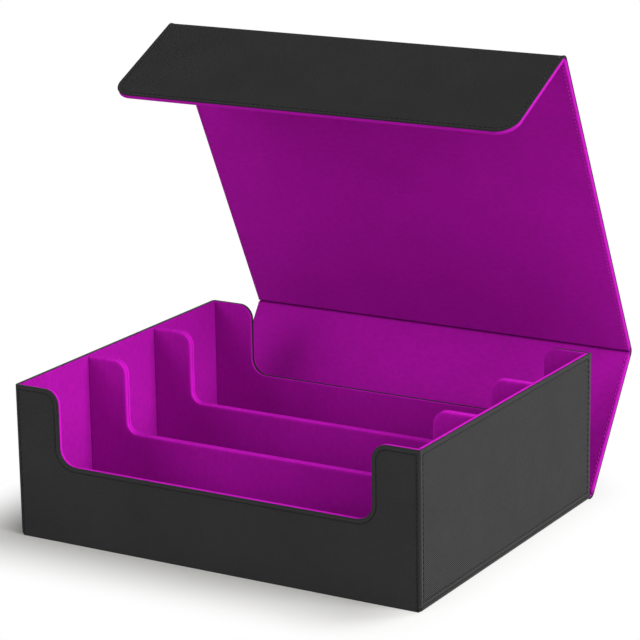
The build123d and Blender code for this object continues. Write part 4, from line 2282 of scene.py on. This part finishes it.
@dataclass(frozen=True)
class Studio:
    """Floor, lights and camera.

    Attributes:
        sizes: sizes of the box.
        camera_place: where the camera stands, in millimetres.
        azimuth: how far round the object it stands, in degrees.
        elevation: how far it looks down.
        roll: how far it leans.
        focal: focal length, in pixels of the picture.
        picture: width of the picture, in pixels.
        sensor: width of the sensor, in millimetres.
        sight: nearest and farthest distance that it sees, in metres.
        floor_size: side of the floor, in metres.
        floor_colour: colour of the floor in the box's shadow.
        shadow_reach: how far from the box's foot the painted white glow takes over from its shadow, in
            metres.
        glow_inset_right: how much closer to the box the painted white glow starts on the right, painting out
            the shadow on that side.
        sky: strength of the even light all round.
    """

    sizes: BoxSizes
    camera_place: tuple[float, float, float] = (962.6, -1599.8, 657.4)
    azimuth: float = 30.742
    elevation: float = 15.353
    roll: float = -0.907
    focal: float = 2779.3
    picture: float = 640.0
    sensor: float = 36.0
    sight: Flat = (0.05, 50.0)
    floor_size: float = 12.0
    floor_colour: Colour = srgb(229, 228, 225)
    shadow_reach: float = 0.078
    glow_inset_right: float = 50.0
    sky: float = 0.2

    def camera(self) -> None:
        """Place the camera at the photograph's viewpoint."""
        azimuth, elevation, roll = radians(self.azimuth), radians(self.elevation), radians(self.roll)
        forward = Vector((-sin(azimuth) * cos(elevation), cos(azimuth) * cos(elevation), -sin(elevation)))
        level = forward.cross(Vector((0, 0, 1))).normalized()
        upright = level.cross(forward)
        right = level * cos(roll) + upright * sin(roll)
        up = -level * sin(roll) + upright * cos(roll)
        data = bpy.data.cameras.new("camera")
        data.sensor_width = self.sensor
        data.lens = self.focal * self.sensor / self.picture
        data.clip_start, data.clip_end = self.sight
        item = new_object("camera", data)
        turn = Matrix((right, up, -forward)).transposed()
        item.matrix_world = Matrix.Translation(Vector(self.camera_place) * MM) @ turn.to_4x4()
        bpy.context.scene.camera = item

    def lights(self) -> None:
        """Light the object softly from the right and behind, and weakly from the front and all round."""
        for lamp in LAMPS:
            lamp.build()
        world = bpy.data.worlds.new("studio")
        world.use_nodes = True
        bpy.context.scene.world = world
        board = NodeBoard(world.node_tree)
        strength = board.scaled(sees_background(board), 1.0 - self.sky, self.sky)
        background = board.add("ShaderNodeBackground", {"Color": (1.0, 1.0, 1.0, 1.0), "Strength": strength})
        board.add("ShaderNodeOutputWorld", {"Surface": background})

    def distance(self, board: NodeBoard) -> NodeSocket:
        """Distance of a place on the floor from where the painted white glow starts to cover the box's
        shadow.

        Args:
            board: the floor material's board.

        Returns:
            The distance in metres, 0 under the box.
        """
        inset = Vector((self.glow_inset_right / 2, 0.0, 0.0))
        foot = (Vector((self.sizes.half_width, self.sizes.half_depth, 0.0)) - inset) * MM
        way = board.place()
        steps = (("ADD", inset * MM), ("ABSOLUTE", ZERO), ("SUBTRACT", foot), ("MAXIMUM", ZERO))
        for operation, value in steps:
            values = {0: way, 1: value}
            way = board.add("ShaderNodeVectorMath", values, operation=operation)
        return board.add("ShaderNodeVectorMath", {0: way}, operation="LENGTH").outputs["Value"]

    def floor(self) -> None:
        """Lay a pale floor that keeps the object's shadow near its foot and, past that, glows white for the
        background's rays, a painted white that covers the farther shadow.
        """
        mesh = bmesh.new()
        bmesh.ops.create_grid(mesh, x_segments=4, y_segments=4, size=self.floor_size / 2)
        data = bpy.data.meshes.new("floor")
        mesh.to_mesh(data)
        mesh.free()
        item = new_object("floor", data)
        material, board = new_material("pale_floor")
        matt = board.add("ShaderNodeBsdfDiffuse", {"Color": self.floor_colour})
        white = board.add("ShaderNodeEmission", {"Strength": 1.0})
        # Painted light: the white glow covers the box's shadow past shadow_reach, sooner on the right.
        span = {"Value": self.distance(board), 2: self.shadow_reach}
        painted_glow = board.add("ShaderNodeMapRange", span, interpolation_type="SMOOTHSTEP")
        share = board.times(sees_background(board), painted_glow)
        both = board.add("ShaderNodeMixShader", {0: share, 1: matt, 2: white})
        board.add("ShaderNodeOutputMaterial", {"Surface": both})
        data.materials.append(material)

    def build(self) -> None:
        """Set up the studio."""
        self.floor()
        self.lights()
        self.camera()
        bpy.context.scene.view_settings.view_transform = "Standard"


def main() -> None:
    """Build the box, piece by piece, and the studio round it."""
    logging.basicConfig(level=logging.INFO, format="%(message)s")
    sizes = BoxSizes.from_frame()
    finishes = Finishes.build()
    stitching = StitchTree()
    dress_hidden_nodes(finishes)
    Tray(sizes, finishes).build(stitching)
    Cover(sizes, finishes).build(stitching)
    Studio(sizes).build()


if __name__ == "__main__":
    main()
